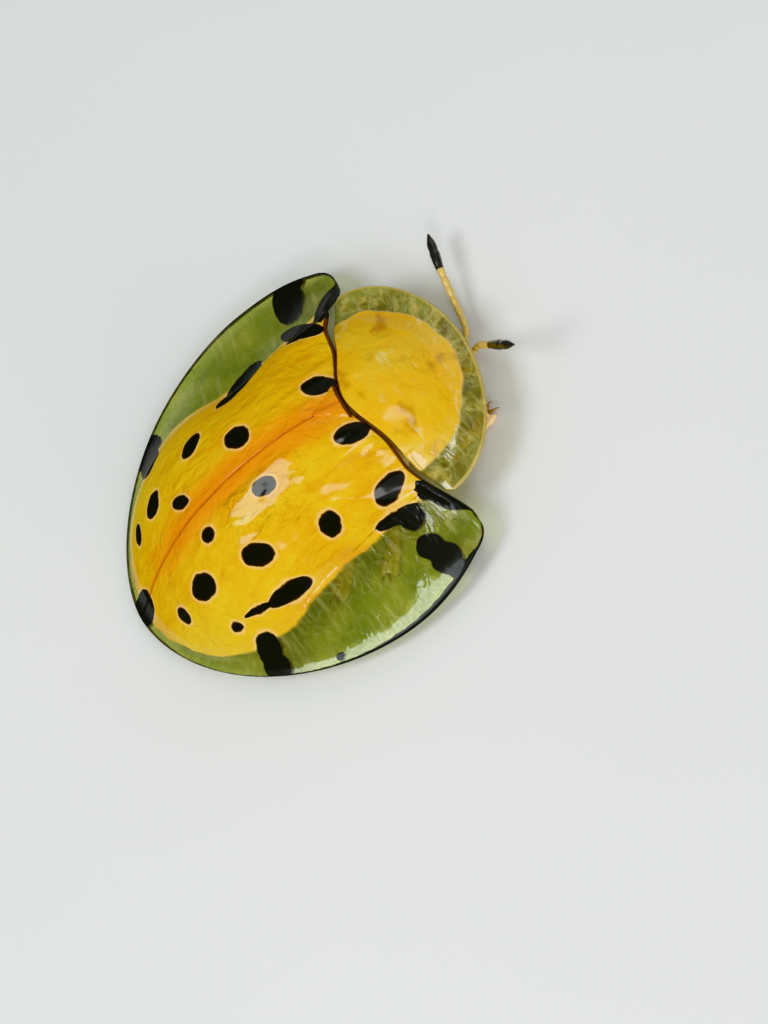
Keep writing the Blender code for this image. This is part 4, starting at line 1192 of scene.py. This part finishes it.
def feeler(word, side, tree, stem_finish, club_finish):
    """A feeler: the yellow stem of nine joints, and the black, pointed end of two."""
    root, bend, neck, tip = (place(side, *FEELERS[word][key]) for key in ("root", "bend", "neck", "tip"))
    shares = np.linspace(0, 1, FEELER_POINTS)
    elbow_end = bend.lerp(neck, FEELER_ELBOW)
    path = [root.lerp(bend, t).lerp(bend.lerp(elbow_end, t), t) for t in shares]
    path += [elbow_end.lerp(neck, t) for t in shares[1:]]
    stem = grown("stem", path_curve("stem", path), tree, {**STEM_FORM, "Finish": stem_finish})
    start = neck - (tip - neck).normalized() * CLUB_OVERLAP
    path = [start + (tip - neck) * t + Vector((0, 0, CLUB_BOW)) * t * (1 - t) for t in shares]
    club = grown("club", path_curve("club", path), tree, {**CLUB_FORM, "Finish": club_finish})
    hand_over(f"feeler_{word}", finish_mesh(stem), None, [f"antenna_{word}"])
    hand_over(f"feeler_club_{word}", finish_mesh(club), None, [f"antenna_{word}_club"])


# Legs
# From the hip down to the claws. The last place is the end of the sole.
LEGS = {
    "front": {
        "hip": (11.45, 0.95),
        "knee": (11.55, 2.30, 0.52),
        "ankle": (12.25, 1.98, 0.30),
        "sole": (12.98, 1.76),
    },
    "mid": {
        "hip": (8.60, 1.10),
        "knee": (9.00, 2.60, 0.52),
        "ankle": (8.42, 3.10, 0.30),
        "sole": (7.75, 3.90),
    },
    "hind": {
        "hip": (6.95, 1.10),
        "knee": (7.25, 2.35, 0.52),
        "ankle": (6.80, 2.80, 0.30),
        "sole": (5.98, 3.45),
    },
}
SOLE_Z = 0.17
LEG_CELL = 0.026
THIGH_RADII = (0.17, 0.24, 0.29, 0.27, 0.20)
SHIN_RADII = (0.16, 0.15, 0.17, 0.20, 0.22)
HIP_LUMP = (0.36, 0.44, 0.26)
JOINT_LUMP = (0.19, 0.19, 0.18)
SHIN_BOW = 0.06
PADS = ((0.10, 0.20), (0.40, 0.26))
PAD_LENGTH = 0.23
PAD_HEIGHT = 0.13
LOBE_OUT = 0.16
LOBE_SIZE = (0.32, 0.165, 0.12)
STALK_RADII = (0.06, 0.07, 0.095)
LEG_FLAT_Z = 0.012
CLAW_LENGTH = 0.40
CLAW_SPREAD = 0.13
BRISTLE_DENSITY = 22.0
BRISTLE_LENGTH = 0.10
BRISTLE_THICKNESS = 0.007
BRISTLE_LEAN = 1.1
BRISTLE_FLAT_Z = 0.001


def up_by(height):
    """A way straight up."""
    return Vector((0, 0, height))


def add_foot(form, heel, sole):
    """Adds a foot of broad pads, the last one in two lobes, and the stalk of its claws."""
    foot = sole - heel
    ahead = foot.normalized()
    across = Vector((-ahead.y, ahead.x, 0))
    turn = heading(ahead)
    for share, half in PADS:
        add_lump(form, heel + foot * share - up_by(0.01), (PAD_LENGTH, half, PAD_HEIGHT), turn)
        for way in (-1, 1):
            corner = heel + foot * (share + 0.13) + across * half * 0.55 * way
            add_lump(form, corner, (0.16, half * 0.55, 0.12), turn)
    for way in (-1, 1):
        lobe_turn = heading(ahead + across * 0.22 * way)
        add_lump(form, heel + foot * 0.84 + across * LOBE_OUT * way, LOBE_SIZE, lobe_turn)
    start, end = heel + foot * 0.62 + up_by(0.05), sole + ahead * 0.06 + up_by(0.08)
    add_sweep(form, [start, start.lerp(end, 0.5), end], STALK_RADII)
    return ahead, across


def leg_skin(word, pair, side, finish):
    """A leg in one skin: hip, thigh, shin and foot."""
    route = LEGS[pair]
    hip = at_hip(side, route["hip"], -0.10)
    knee, ankle = place(side, *route["knee"]), place(side, *route["ankle"])
    sole = place(side, *route["sole"], SOLE_Z)
    form = bmesh.new()
    add_lump(form, hip + up_by(0.06), HIP_LUMP)
    crook = (knee - hip).normalized()
    add_lump(form, hip + crook * 0.36, JOINT_LUMP)
    thigh = [Vector(mix(hip + crook * 0.25, knee, t)) for t in np.linspace(0, 1, len(THIGH_RADII))]
    add_sweep(form, thigh, THIGH_RADII, flat=0.82)
    add_lump(form, knee, JOINT_LUMP)
    shares = np.linspace(0, 1, len(SHIN_RADII))
    shin = [knee.lerp(ankle, t) + up_by(SHIN_BOW * math.sin(math.pi * t)) for t in shares]
    add_sweep(form, shin, SHIN_RADII, flat=0.9)
    ahead, across = add_foot(form, Vector((ankle.x, ankle.y, SOLE_Z)), sole)
    mesh = melted("leg", form, LEG_CELL, rounds=4)
    flatten(mesh, LEG_FLAT_Z)
    name = f"{pair}_{word}"
    piece = hand_over(f"leg_skin_{name}", mesh, finish, [f"leg_{name}"])
    return piece, sole, ahead, across


def claws(name, sole, ahead, across, finish):
    """The two small hooked claws at the end of a foot."""
    form = bmesh.new()
    for way in (-1, 1):
        root = sole + ahead * 0.10 + across * 0.04 * way + up_by(0.07)
        middle = root + ahead * 0.45 * CLAW_LENGTH + across * 0.75 * CLAW_SPREAD * way + up_by(0.05)
        end = root + ahead * 0.80 * CLAW_LENGTH + across * CLAW_SPREAD * way - up_by(0.06)
        path = curve_points([root, middle, end], 8)
        add_sweep(form, path, radii_between(0.055, 0.012, len(path)), sides=12)
    bmesh.ops.recalc_face_normals(form, faces=form.faces)
    return hand_over(name, finish_mesh(from_form("claws", form)), finish)


# Bristles
def bristle_tree():
    """A tree that stands short bristles on a surface, leaned towards one way."""
    inputs = {"Density": 20.0, "Length": 0.12, "Thickness": 0.008, "Lean": 0.8, "Seed": 3}
    kinds = {"Way": "NodeSocketVector", "Finish": "NodeSocketMaterial"}
    wiring, given = new_growth("Bristles", {**inputs, **kinds})
    wires = {"Mesh": given["Geometry"], "Density": given["Density"], "Seed": given["Seed"]}
    spots = wiring.add("GeometryNodeDistributePointsOnFaces", wires).outputs
    wires = {"Vertices": 5, "Side Segments": 2, "Radius Top": 0.0, "Radius Bottom": given["Thickness"]}
    hair = wiring.add("GeometryNodeMeshCone", {**wires, "Depth": given["Length"]}).outputs["Mesh"]
    wires = {0: given["Way"], 3: given["Lean"]}
    lean = wiring.add("ShaderNodeVectorMath", wires, operation="SCALE").outputs[0]
    wires = {0: spots["Normal"], 1: lean}
    stand = wiring.add("ShaderNodeVectorMath", wires, operation="ADD").outputs[0]
    turn = wiring.add("FunctionNodeAlignRotationToVector", {"Vector": stand}, axis="Z").outputs["Rotation"]
    wires = {2: 0.6, 3: 1.2, "Seed": given["Seed"]}
    size = wiring.add("FunctionNodeRandomValue", wires, data_type="FLOAT").outputs[1]
    wires = {"Points": spots["Points"], "Instance": hair, "Rotation": turn, "Scale": size}
    stood = wiring.add("GeometryNodeInstanceOnPoints", wires).outputs["Instances"]
    return close_growth(wiring, stood, given["Finish"])


def bristles(name, piece, tree, way, finish, seed):
    """Short pale bristles over a finished leg."""
    ground = piece.data.copy()
    ground.transform(Matrix.Scale(1 / MM, 4))
    values = {"Density": BRISTLE_DENSITY, "Length": BRISTLE_LENGTH, "Thickness": BRISTLE_THICKNESS}
    values.update({"Lean": BRISTLE_LEAN, "Way": way, "Seed": seed, "Finish": finish})
    mesh = grown(name, ground, tree, values)
    flatten(mesh, BRISTLE_FLAT_Z)
    return hand_over(name, finish_mesh(mesh), None)


# Colours
AMBER = (0.70, 0.37, 0.006, 1)
AMBER_PALE = (0.72, 0.45, 0.016, 1)
AMBER_DEEP = (0.62, 0.27, 0.004, 1)
ORANGE = (0.74, 0.20, 0.004, 1)
LEMON = (0.72, 0.52, 0.04, 1)
SEAM_BROWN = (0.12, 0.03, 0.003, 1)
SEAM_ORANGE = (0.60, 0.17, 0.003, 1)
BLACK = (0.008, 0.008, 0.004, 1)
BLACK_BROWN = (0.020, 0.005, 0.001, 1)
RING = (0.90, 0.58, 0.24, 1)
GOLD = (0.74, 0.40, 0.012, 1)
GOLD_PALE = (0.70, 0.46, 0.035, 1)
GOLD_BROWN = (0.42, 0.17, 0.006, 1)
FOG = (0.48, 0.37, 0.08, 1)
OLIVE = (0.18, 0.22, 0.02, 1)
STRAW = (0.40, 0.35, 0.05, 1)
STRAW_PALE = (0.72, 0.68, 0.36, 1)
RIM_TAN = (0.62, 0.46, 0.13, 1)
FILM_DEEP = (0.71, 0.77, 0.37, 1)
FILM_TAN = (0.76, 0.70, 0.34, 1)
FILM_PALE = (0.82, 0.86, 0.48, 1)
HONEY = (0.92, 0.58, 0.22, 1)
HONEY_PALE = (0.97, 0.74, 0.40, 1)
STEM = (0.60, 0.40, 0.09, 1)
STEM_PALE = (0.72, 0.52, 0.17, 1)
HONEY_DEEP = (0.42, 0.21, 0.03, 1)
BROWN = (0.22, 0.09, 0.02, 1)
BLACK_PALE = (0.022, 0.014, 0.008, 1)
HAIR = (0.70, 0.52, 0.22, 1)
HAIR_PALE = (0.86, 0.76, 0.48, 1)
GLOSS = (0.88, 0.90, 1.0, 1)
WHITE = (1, 1, 1, 1)

# How the two kinds of clear margin differ: the film's tint, the veins' shape, width and share, the shares of
# haze, fog, lines and rim, and how far the gold at the root sways and fades out.
WING_FILM = {
    "tint": FILM_DEEP,
    "vein shape": (3.4, 1.5, 1.0),
    "vein width": 0.10,
    "vein share": 0.30,
    "haze": 0.10,
    "fog": 0.20,
    "lines": 0.40,
    "rim": 0.30,
    "sway": 0.50,
    "fade": -0.14,
}
SHIELD_FILM = {
    "tint": FILM_TAN,
    "vein shape": (2.6, 2.2, 1.0),
    "vein width": 0.22,
    "vein share": 0.35,
    "haze": 0.75,
    "fog": 0.80,
    "lines": 0.55,
    "rim": 0.70,
    "sway": 0.30,
    "fade": -0.06,
}
# Heights of folds and swells outside and inside the crumpled place beside the seam.
FOLD_HEIGHTS = (0.008, 0.032)
SWELL_HEIGHTS = (0.10, 0.26)


def on_animal(finish):
    """The way to the animal's left, the way out from the midline, and the way forward from the tail."""
    x, y, _ = finish.wiring.add("ShaderNodeSeparateXYZ", {0: finish.place}).outputs
    return x, finish.wiring.math("ABSOLUTE", x), finish.wiring.math("SUBTRACT", TAIL_Y, y)


def case_finish(effects):
    """Golden cuticle with black markings under a clear, glossy skin."""
    finish = Finish("amber_wing_case", Specular_IOR_Level=0.0, Coat_Roughness=0.11, Coat_IOR=1.36)
    wiring = finish.wiring
    x, out, along = on_animal(finish)
    colour = finish.effect(effects["amber"], Out=out, Along=along)["Colour"]
    middle = wiring.times(wiring.step(out, 1.1, 0.05), wiring.step(along, 1.0, 3.5))
    colour = wiring.tint(wiring.times(middle, 0.75), colour, ORANGE)
    black = finish.effect(effects["marking"], Distance=wiring.stored("marking"), Wobble=0.16)
    colour = wiring.tint(wiring.times(black["Ring"], 0.75), colour, RING)
    colour = wiring.tint(wiring.step(out, 0.11, 0.0), colour, SEAM_ORANGE)
    colour = wiring.tint(wiring.step(wiring.stored("front"), 0.09, 0.05), colour, SEAM_BROWN)
    colour = wiring.tint(black["Mask"], colour, BLACK_BROWN)
    finish.set("Base Color", wiring.tint(black["Core"], colour, BLACK))
    finish.set("Roughness", wiring.step(black["Mask"], 0.0, 1.0, 0.32, 0.2))
    finish.soften_edges(0.05)
    span = wiring.times(wiring.step(along, 4.6, 6.0), wiring.step(along, 8.6, 7.4))
    beside = wiring.times(wiring.step(x, -2.6, -1.4), wiring.step(x, -0.3, -0.8))
    crumple = wiring.times(beside, span)
    fold, swell = (wiring.step(crumple, 0.0, 1.0, *heights) for heights in (FOLD_HEIGHTS, SWELL_HEIGHTS))
    drawn_out = wiring.stretch(finish.place, (1.0, 0.6, 1.0))
    values = {"Wrinkle": 1.9, "Wrinkle_height": fold, "Swell": 2.5, "Swell_height": swell}
    values.update({"Grain": 16.0, "Grain_height": 0.0012})
    finish.relief(finish.effect(effects["relief"], Place=drawn_out, **values)["Height"])
    return finish.material


def pale_lines(wiring, sheet, look):
    """Rays across a clear margin and the net of veins between them, from 0 to 1."""
    ray = wiring.noise(wiring.stretch(sheet, (4.5, 0.5, 1.0)), 1.0, 2.0, 0.5, 0.5)
    bent = wiring.add("ShaderNodeTexNoise", {"Vector": sheet, "Scale": 2.5, "Detail": 1.0}).outputs["Color"]
    wires = {0: bent, 1: (0.4, 0.4, 0.4), 2: sheet}
    bent = wiring.add("ShaderNodeVectorMath", wires, operation="MULTIPLY_ADD").outputs[0]
    wall = wiring.cells(wiring.stretch(bent, look["vein shape"]), 1.0)
    veins = wiring.times(wiring.step(wall, look["vein width"], 0.0), look["vein share"])
    return wiring.math("MAXIMUM", wiring.times(wiring.step(ray, 0.52, 0.70), 0.45), veins)


def gloss_share(wiring):
    """How much of a clear margin's light is its gloss, more where it turns away from the eye."""
    turned = wiring.add("ShaderNodeLayerWeight", {"Blend": 0.5}).outputs["Facing"]
    return wiring.step(turned, 0.2, 0.9, 0.04, 0.07)


def cover(finish, solid, clear, shine, normal):
    """Lets light through where the cuticle isn't solid, and lays a glossy skin over it."""
    wiring = finish.wiring
    film = wiring.add("ShaderNodeBsdfTransparent", {"Color": clear}).outputs[0]
    body = wiring.add("ShaderNodeMixShader", {0: solid, 1: film, 2: finish.shader.outputs[0]}).outputs[0]
    wires = {"Color": GLOSS, "Roughness": 0.08, "Normal": normal}
    gloss = wiring.add("ShaderNodeBsdfGlossy", wires).outputs[0]
    whole = wiring.add("ShaderNodeMixShader", {0: shine, 1: body, 2: gloss}).outputs[0]
    wiring.wire(whole, finish.material.node_tree.nodes["Material Output"].inputs["Surface"])


def clear_margin_finish(effects, name, look, shield):
    """Clear, tinted cuticle with pale lines, golden at its root. On the wing cases it has black markings."""
    finish = Finish(name, Roughness=0.35, Specular_IOR_Level=0.2)
    wiring = finish.wiring
    along, across, to_rim = (wiring.stored(key) for key in ("along", "across", "to_rim"))
    sheet = wiring.add("ShaderNodeCombineXYZ", {0: along, 1: across}).outputs[0]
    pale = pale_lines(wiring, sheet, look)
    cloud = wiring.step(wiring.noise(sheet, 0.7, 2.0), 0.35, 0.65)
    fog = wiring.step(wiring.noise(finish.place, 1.3, 4.0, 0.65), 0.45, 0.70)
    colour = wiring.tint(pale, wiring.tint(cloud, OLIVE, STRAW), STRAW_PALE)
    colour = wiring.tint(wiring.times(fog, look["fog"]), colour, FOG)
    sway = wiring.times(wiring.noise(finish.place, 1.1, 2.0, 0.55), look["sway"])
    golden = wiring.step(wiring.math("SUBTRACT", across, sway), 0.05, look["fade"])
    if shield:
        root = finish.effect(effects["gold"])["Colour"]
        colour = wiring.tint(wiring.step(golden, 0.02, 0.5), colour, STRAW_PALE)
    else:
        _, out, forward = on_animal(finish)
        root = finish.effect(effects["amber"], Out=out, Along=forward)["Colour"]
    rim_line = wiring.step(to_rim, 0.13, 0.06)
    colour = wiring.tint(wiring.times(rim_line, 0.8), wiring.tint(golden, colour, root), RIM_TAN)
    solid = wiring.math("ADD", wiring.times(fog, look["haze"]), wiring.times(pale, look["lines"]))
    solid = wiring.math("MAXIMUM", wiring.math("ADD", solid, 0.10), golden)
    solid = wiring.math("MAXIMUM", solid, wiring.times(rim_line, look["rim"]))
    shine = gloss_share(wiring)
    if not shield:
        # The black here includes the dark rim, which is partly a painted shadow of the rim.
        marking = finish.effect(effects["marking"], Distance=wiring.stored("marking"), Wobble=0.12)
        ring = wiring.times(wiring.times(marking["Ring"], golden), 0.8)
        colour = wiring.tint(marking["Mask"], wiring.tint(ring, colour, RING), BLACK)
        solid = wiring.math("MAXIMUM", solid, marking["Mask"])
        band = wiring.math("ADD", to_rim, wiring.times(wiring.noise(sheet, 4.0, 3.0, 0.7), 0.35))
        mottle = wiring.step(wiring.noise(sheet, 7.0, 2.0, 0.6), 0.35, 0.65, 0.60, 0.95)
        shine = wiring.times(shine, wiring.step(band, 1.2, 1.05, 1.0, mottle))
        shine = wiring.times(shine, wiring.step(marking["Mask"], 0.0, 1.0, 1.0, 0.25))
    finish.set("Base Color", colour)
    values = {"Wrinkle": 1.2, "Wrinkle_height": 0.006, "Grain": 5.0, "Grain_height": 0.004}
    values["Place"] = wiring.stretch(sheet, (2.2, 0.6, 1.0))
    height = finish.effect(effects["relief"], **values)["Height"]
    normal = finish.relief(wiring.times(height, wiring.step(to_rim, 0.6, 1.0, 0.12)))
    clear = wiring.tint(wiring.step(across, 0.05, -0.05), wiring.tint(cloud, look["tint"], FILM_PALE), WHITE)
    cover(finish, solid, clear, shine, normal)
    return finish.material


def shield_finish(effects):
    """Golden cuticle with brown clouds and pale streaks."""
    finish = Finish("amber_neck_shield", Specular_IOR_Level=0.0, Coat_Roughness=0.15, Coat_IOR=1.34)
    wiring = finish.wiring
    colour = finish.effect(effects["gold"])["Colour"]
    colour = wiring.tint(wiring.step(wiring.stored("hind"), 0.06, 0.02), colour, SEAM_BROWN)
    finish.set("Base Color", colour)
    finish.soften_edges(0.1)
    depth = finish.effect(effects["mottle"], Cloud=0.5, Fleck=2.2, Fleck_share=0.4)["Depth"]
    finish.set("Roughness", wiring.step(depth, 0.0, 1.0, 0.30, 0.42))
    values = {"Wrinkle": 1.0, "Wrinkle_height": 0.008, "Swell": 1.3, "Swell_height": 0.10}
    values.update({"Grain": 12.0, "Grain_height": 0.0015})
    finish.relief(finish.effect(effects["relief"], **values)["Height"])
    return finish.material


def flesh_finish(effects, name, colours, roughness):
    """Satin cuticle of legs, head and underside, darker in its hollows."""
    finish = Finish(name, Coat_Weight=0.35, Coat_Roughness=0.2)
    wiring = finish.wiring
    pale, middle, deep = colours
    depth = finish.effect(effects["mottle"], Cloud=1.2, Fleck=9.0, Fleck_share=0.45)["Depth"]
    point = wiring.add("ShaderNodeNewGeometry").outputs["Pointiness"]
    hollow = wiring.step(point, 0.49, 0.44)
    finish.set("Base Color", wiring.tint(hollow, wiring.tint(depth, middle, pale), deep))
    finish.set("Roughness", wiring.step(depth, 0.0, 1.0, roughness - 0.08, roughness + 0.1))
    values = {"Wrinkle": 4.0, "Wrinkle_height": 0.003, "Grain": 30.0, "Grain_height": 0.002}
    finish.relief(finish.effect(effects["relief"], **values)["Height"])
    return finish.material


def black_finish(effects, name, facets):
    """Shining black cuticle. On the eyes it has facets."""
    finish = Finish(name, Coat_Weight=1.0, Coat_Roughness=0.06)
    wiring = finish.wiring
    depth = finish.effect(effects["mottle"], Cloud=1.5, Fleck=20.0, Fleck_share=0.5)["Depth"]
    finish.set("Base Color", wiring.tint(depth, BLACK, BLACK_PALE))
    finish.set("Roughness", wiring.step(depth, 0.0, 1.0, 0.16, 0.34))
    if facets:
        finish.relief(wiring.times(wiring.cells(finish.place, 26.0, "F1"), -0.012))
    else:
        values = {"Wrinkle": 5.0, "Wrinkle_height": 0.002, "Grain": 30.0, "Grain_height": 0.003}
        finish.relief(finish.effect(effects["relief"], **values)["Height"])
    return finish.material


def bristle_finish():
    """Pale, slightly silky hair."""
    finish = Finish("pale_bristle", Roughness=0.4)
    shade = finish.wiring.noise(finish.place, 2.0)
    finish.set("Base Color", finish.wiring.tint(shade, HAIR, HAIR_PALE))
    return finish.material


# Floor, light and camera
FLOOR_REACH = 0.6
FLOOR_GREY = (0.70, 0.70, 0.68, 1)
FLOOR_PALE = (0.74, 0.74, 0.72, 1)
ROOM_COLOUR = (0.93, 0.96, 1.0, 1)
ROOM_STRENGTH = 0.31
NEUTRAL = (1, 1, 1)
COOL = (0.95, 1.0, 0.97)
# Each lamp: the way towards it, its distance, width, length and power, and its colour.
LAMPS = {
    "overhead": ((-0.08, 0.40, 0.91), 0.16, 0.052, 0.078, 0.115, COOL),
    "over the head": ((-0.22, -0.42, 0.88), 0.16, 0.040, 0.022, 0.026, COOL),
    "front left fill": ((0.45, -0.68, 0.58), 0.40, 0.36, 0.36, 0.25, NEUTRAL),
    "right": ((-0.74, 0.04, 0.66), 0.16, 0.045, 0.045, 0.044, NEUTRAL),
    "right fill": ((-0.80, -0.32, 0.50), 0.36, 0.36, 0.36, 0.50, NEUTRAL),
}
# The camera's place and the point that it looks at, in millimetres.
CAMERA_PLACE = Vector((-54.153, -32.621, 103.289))
CAMERA_AIM = Vector((-2.851, -1.229, 1.5))
CAMERA_UP = Vector((0.77601, -0.59564, 0.20741))
CAMERA_LENS = 136.9


def build_floor():
    """A plain, pale floor."""
    mesh = bpy.data.meshes.new("floor")
    corners = [(x * FLOOR_REACH, y * FLOOR_REACH, 0) for x, y in ((-1, -1), (1, -1), (1, 1), (-1, 1))]
    mesh.from_pydata(corners, [], [(0, 1, 2, 3)])
    finish = Finish("pale_floor", Roughness=0.75)
    shade = finish.wiring.noise(finish.place, 0.05)
    finish.set("Base Color", finish.wiring.tint(shade, FLOOR_GREY, FLOOR_PALE))
    mesh.materials.append(finish.material)
    floor = new_object("floor", mesh)


def soft_light(name, towards, distance, width, length, power, colour):
    """A soft light at a distance from the animal in the direction told. Its length lies along the animal."""
    lamp = bpy.data.lights.new(name, "AREA")
    lamp.shape = "RECTANGLE"
    lamp.size = width
    lamp.size_y = length
    lamp.energy = power
    lamp.color = colour
    piece = new_object(name, lamp)
    piece.location = Vector(towards).normalized() * distance
    piece.rotation_euler = Vector(towards).to_track_quat("Z", "Y").to_euler()


def build_light():
    """Soft light from above and from both sides, in a pale room."""
    for name, values in LAMPS.items():
        soft_light(name, *values)
    world = bpy.data.worlds.new("pale room")
    world.use_nodes = True
    room = world.node_tree.nodes["Background"]
    room.inputs["Color"].default_value = ROOM_COLOUR
    room.inputs["Strength"].default_value = ROOM_STRENGTH
    bpy.context.scene.world = world
    bpy.context.scene.view_settings.view_transform = "Khronos PBR Neutral"


def build_camera():
    """The camera at the photograph's angle."""
    data = bpy.data.cameras.new("camera")
    data.lens = CAMERA_LENS
    data.sensor_width = 36.0
    data.clip_start = 0.005
    data.clip_end = 10.0
    camera = new_object("camera", data)
    back = (CAMERA_PLACE - CAMERA_AIM).normalized()
    right = CAMERA_UP.cross(back).normalized()
    turn = Matrix((right, back.cross(right), back)).transposed().to_4x4()
    camera.matrix_world = Matrix.Translation(CAMERA_PLACE * MM) @ turn
    bpy.context.scene.camera = camera


def build():
    """The whole animal, its floor, light and camera."""
    effects = {"relief": cuticle_relief(), "mottle": cuticle_mottle(), "marking": black_marking()}
    effects.update({"amber": amber_colour(), "gold": golden_colour()})
    golden_case = case_finish(effects)
    clear_case = clear_margin_finish(effects, "clear_wing_margin", WING_FILM, False)
    golden_shield = shield_finish(effects)
    clear_shield = clear_margin_finish(effects, "clear_shield_margin", SHIELD_FILM, True)
    honey = flesh_finish(effects, "honey_leg", (HONEY_PALE, HONEY, HONEY_DEEP), 0.42)
    body = flesh_finish(effects, "honey_belly", (HONEY_PALE, HONEY, HONEY_DEEP), 0.38)
    stem = flesh_finish(effects, "honey_feeler", (STEM_PALE, STEM, HONEY_DEEP), 0.40)
    horn = flesh_finish(effects, "brown_claw", (HONEY_DEEP, BROWN, BLACK), 0.30)
    black = black_finish(effects, "black_feeler_end", False)
    eye = black_finish(effects, "black_eye", True)
    hair = bristle_finish()
    limb, fur = ringed_limb(), bristle_tree()
    trunk_skin(body)
    head_skin(honey)
    neck_shield(golden_shield)
    neck_shield_margin(clear_shield)
    little_shield(golden_case)
    for word, side in SIDES.items():
        wing_case(word, side, golden_case)
        wing_margin(word, side, clear_case)
        eye_lens(word, side, eye)
        feeler(word, side, limb, stem, black)
        for seed, pair in enumerate(LEGS, 1):
            piece, sole, ahead, across = leg_skin(word, pair, side, honey)
            claws(f"claws_{pair}_{word}", sole, ahead, across, horn)
            bristles(f"bristles_{pair}_{word}", piece, fur, ahead, hair, seed)
    build_floor()
    build_light()
    build_camera()


build()
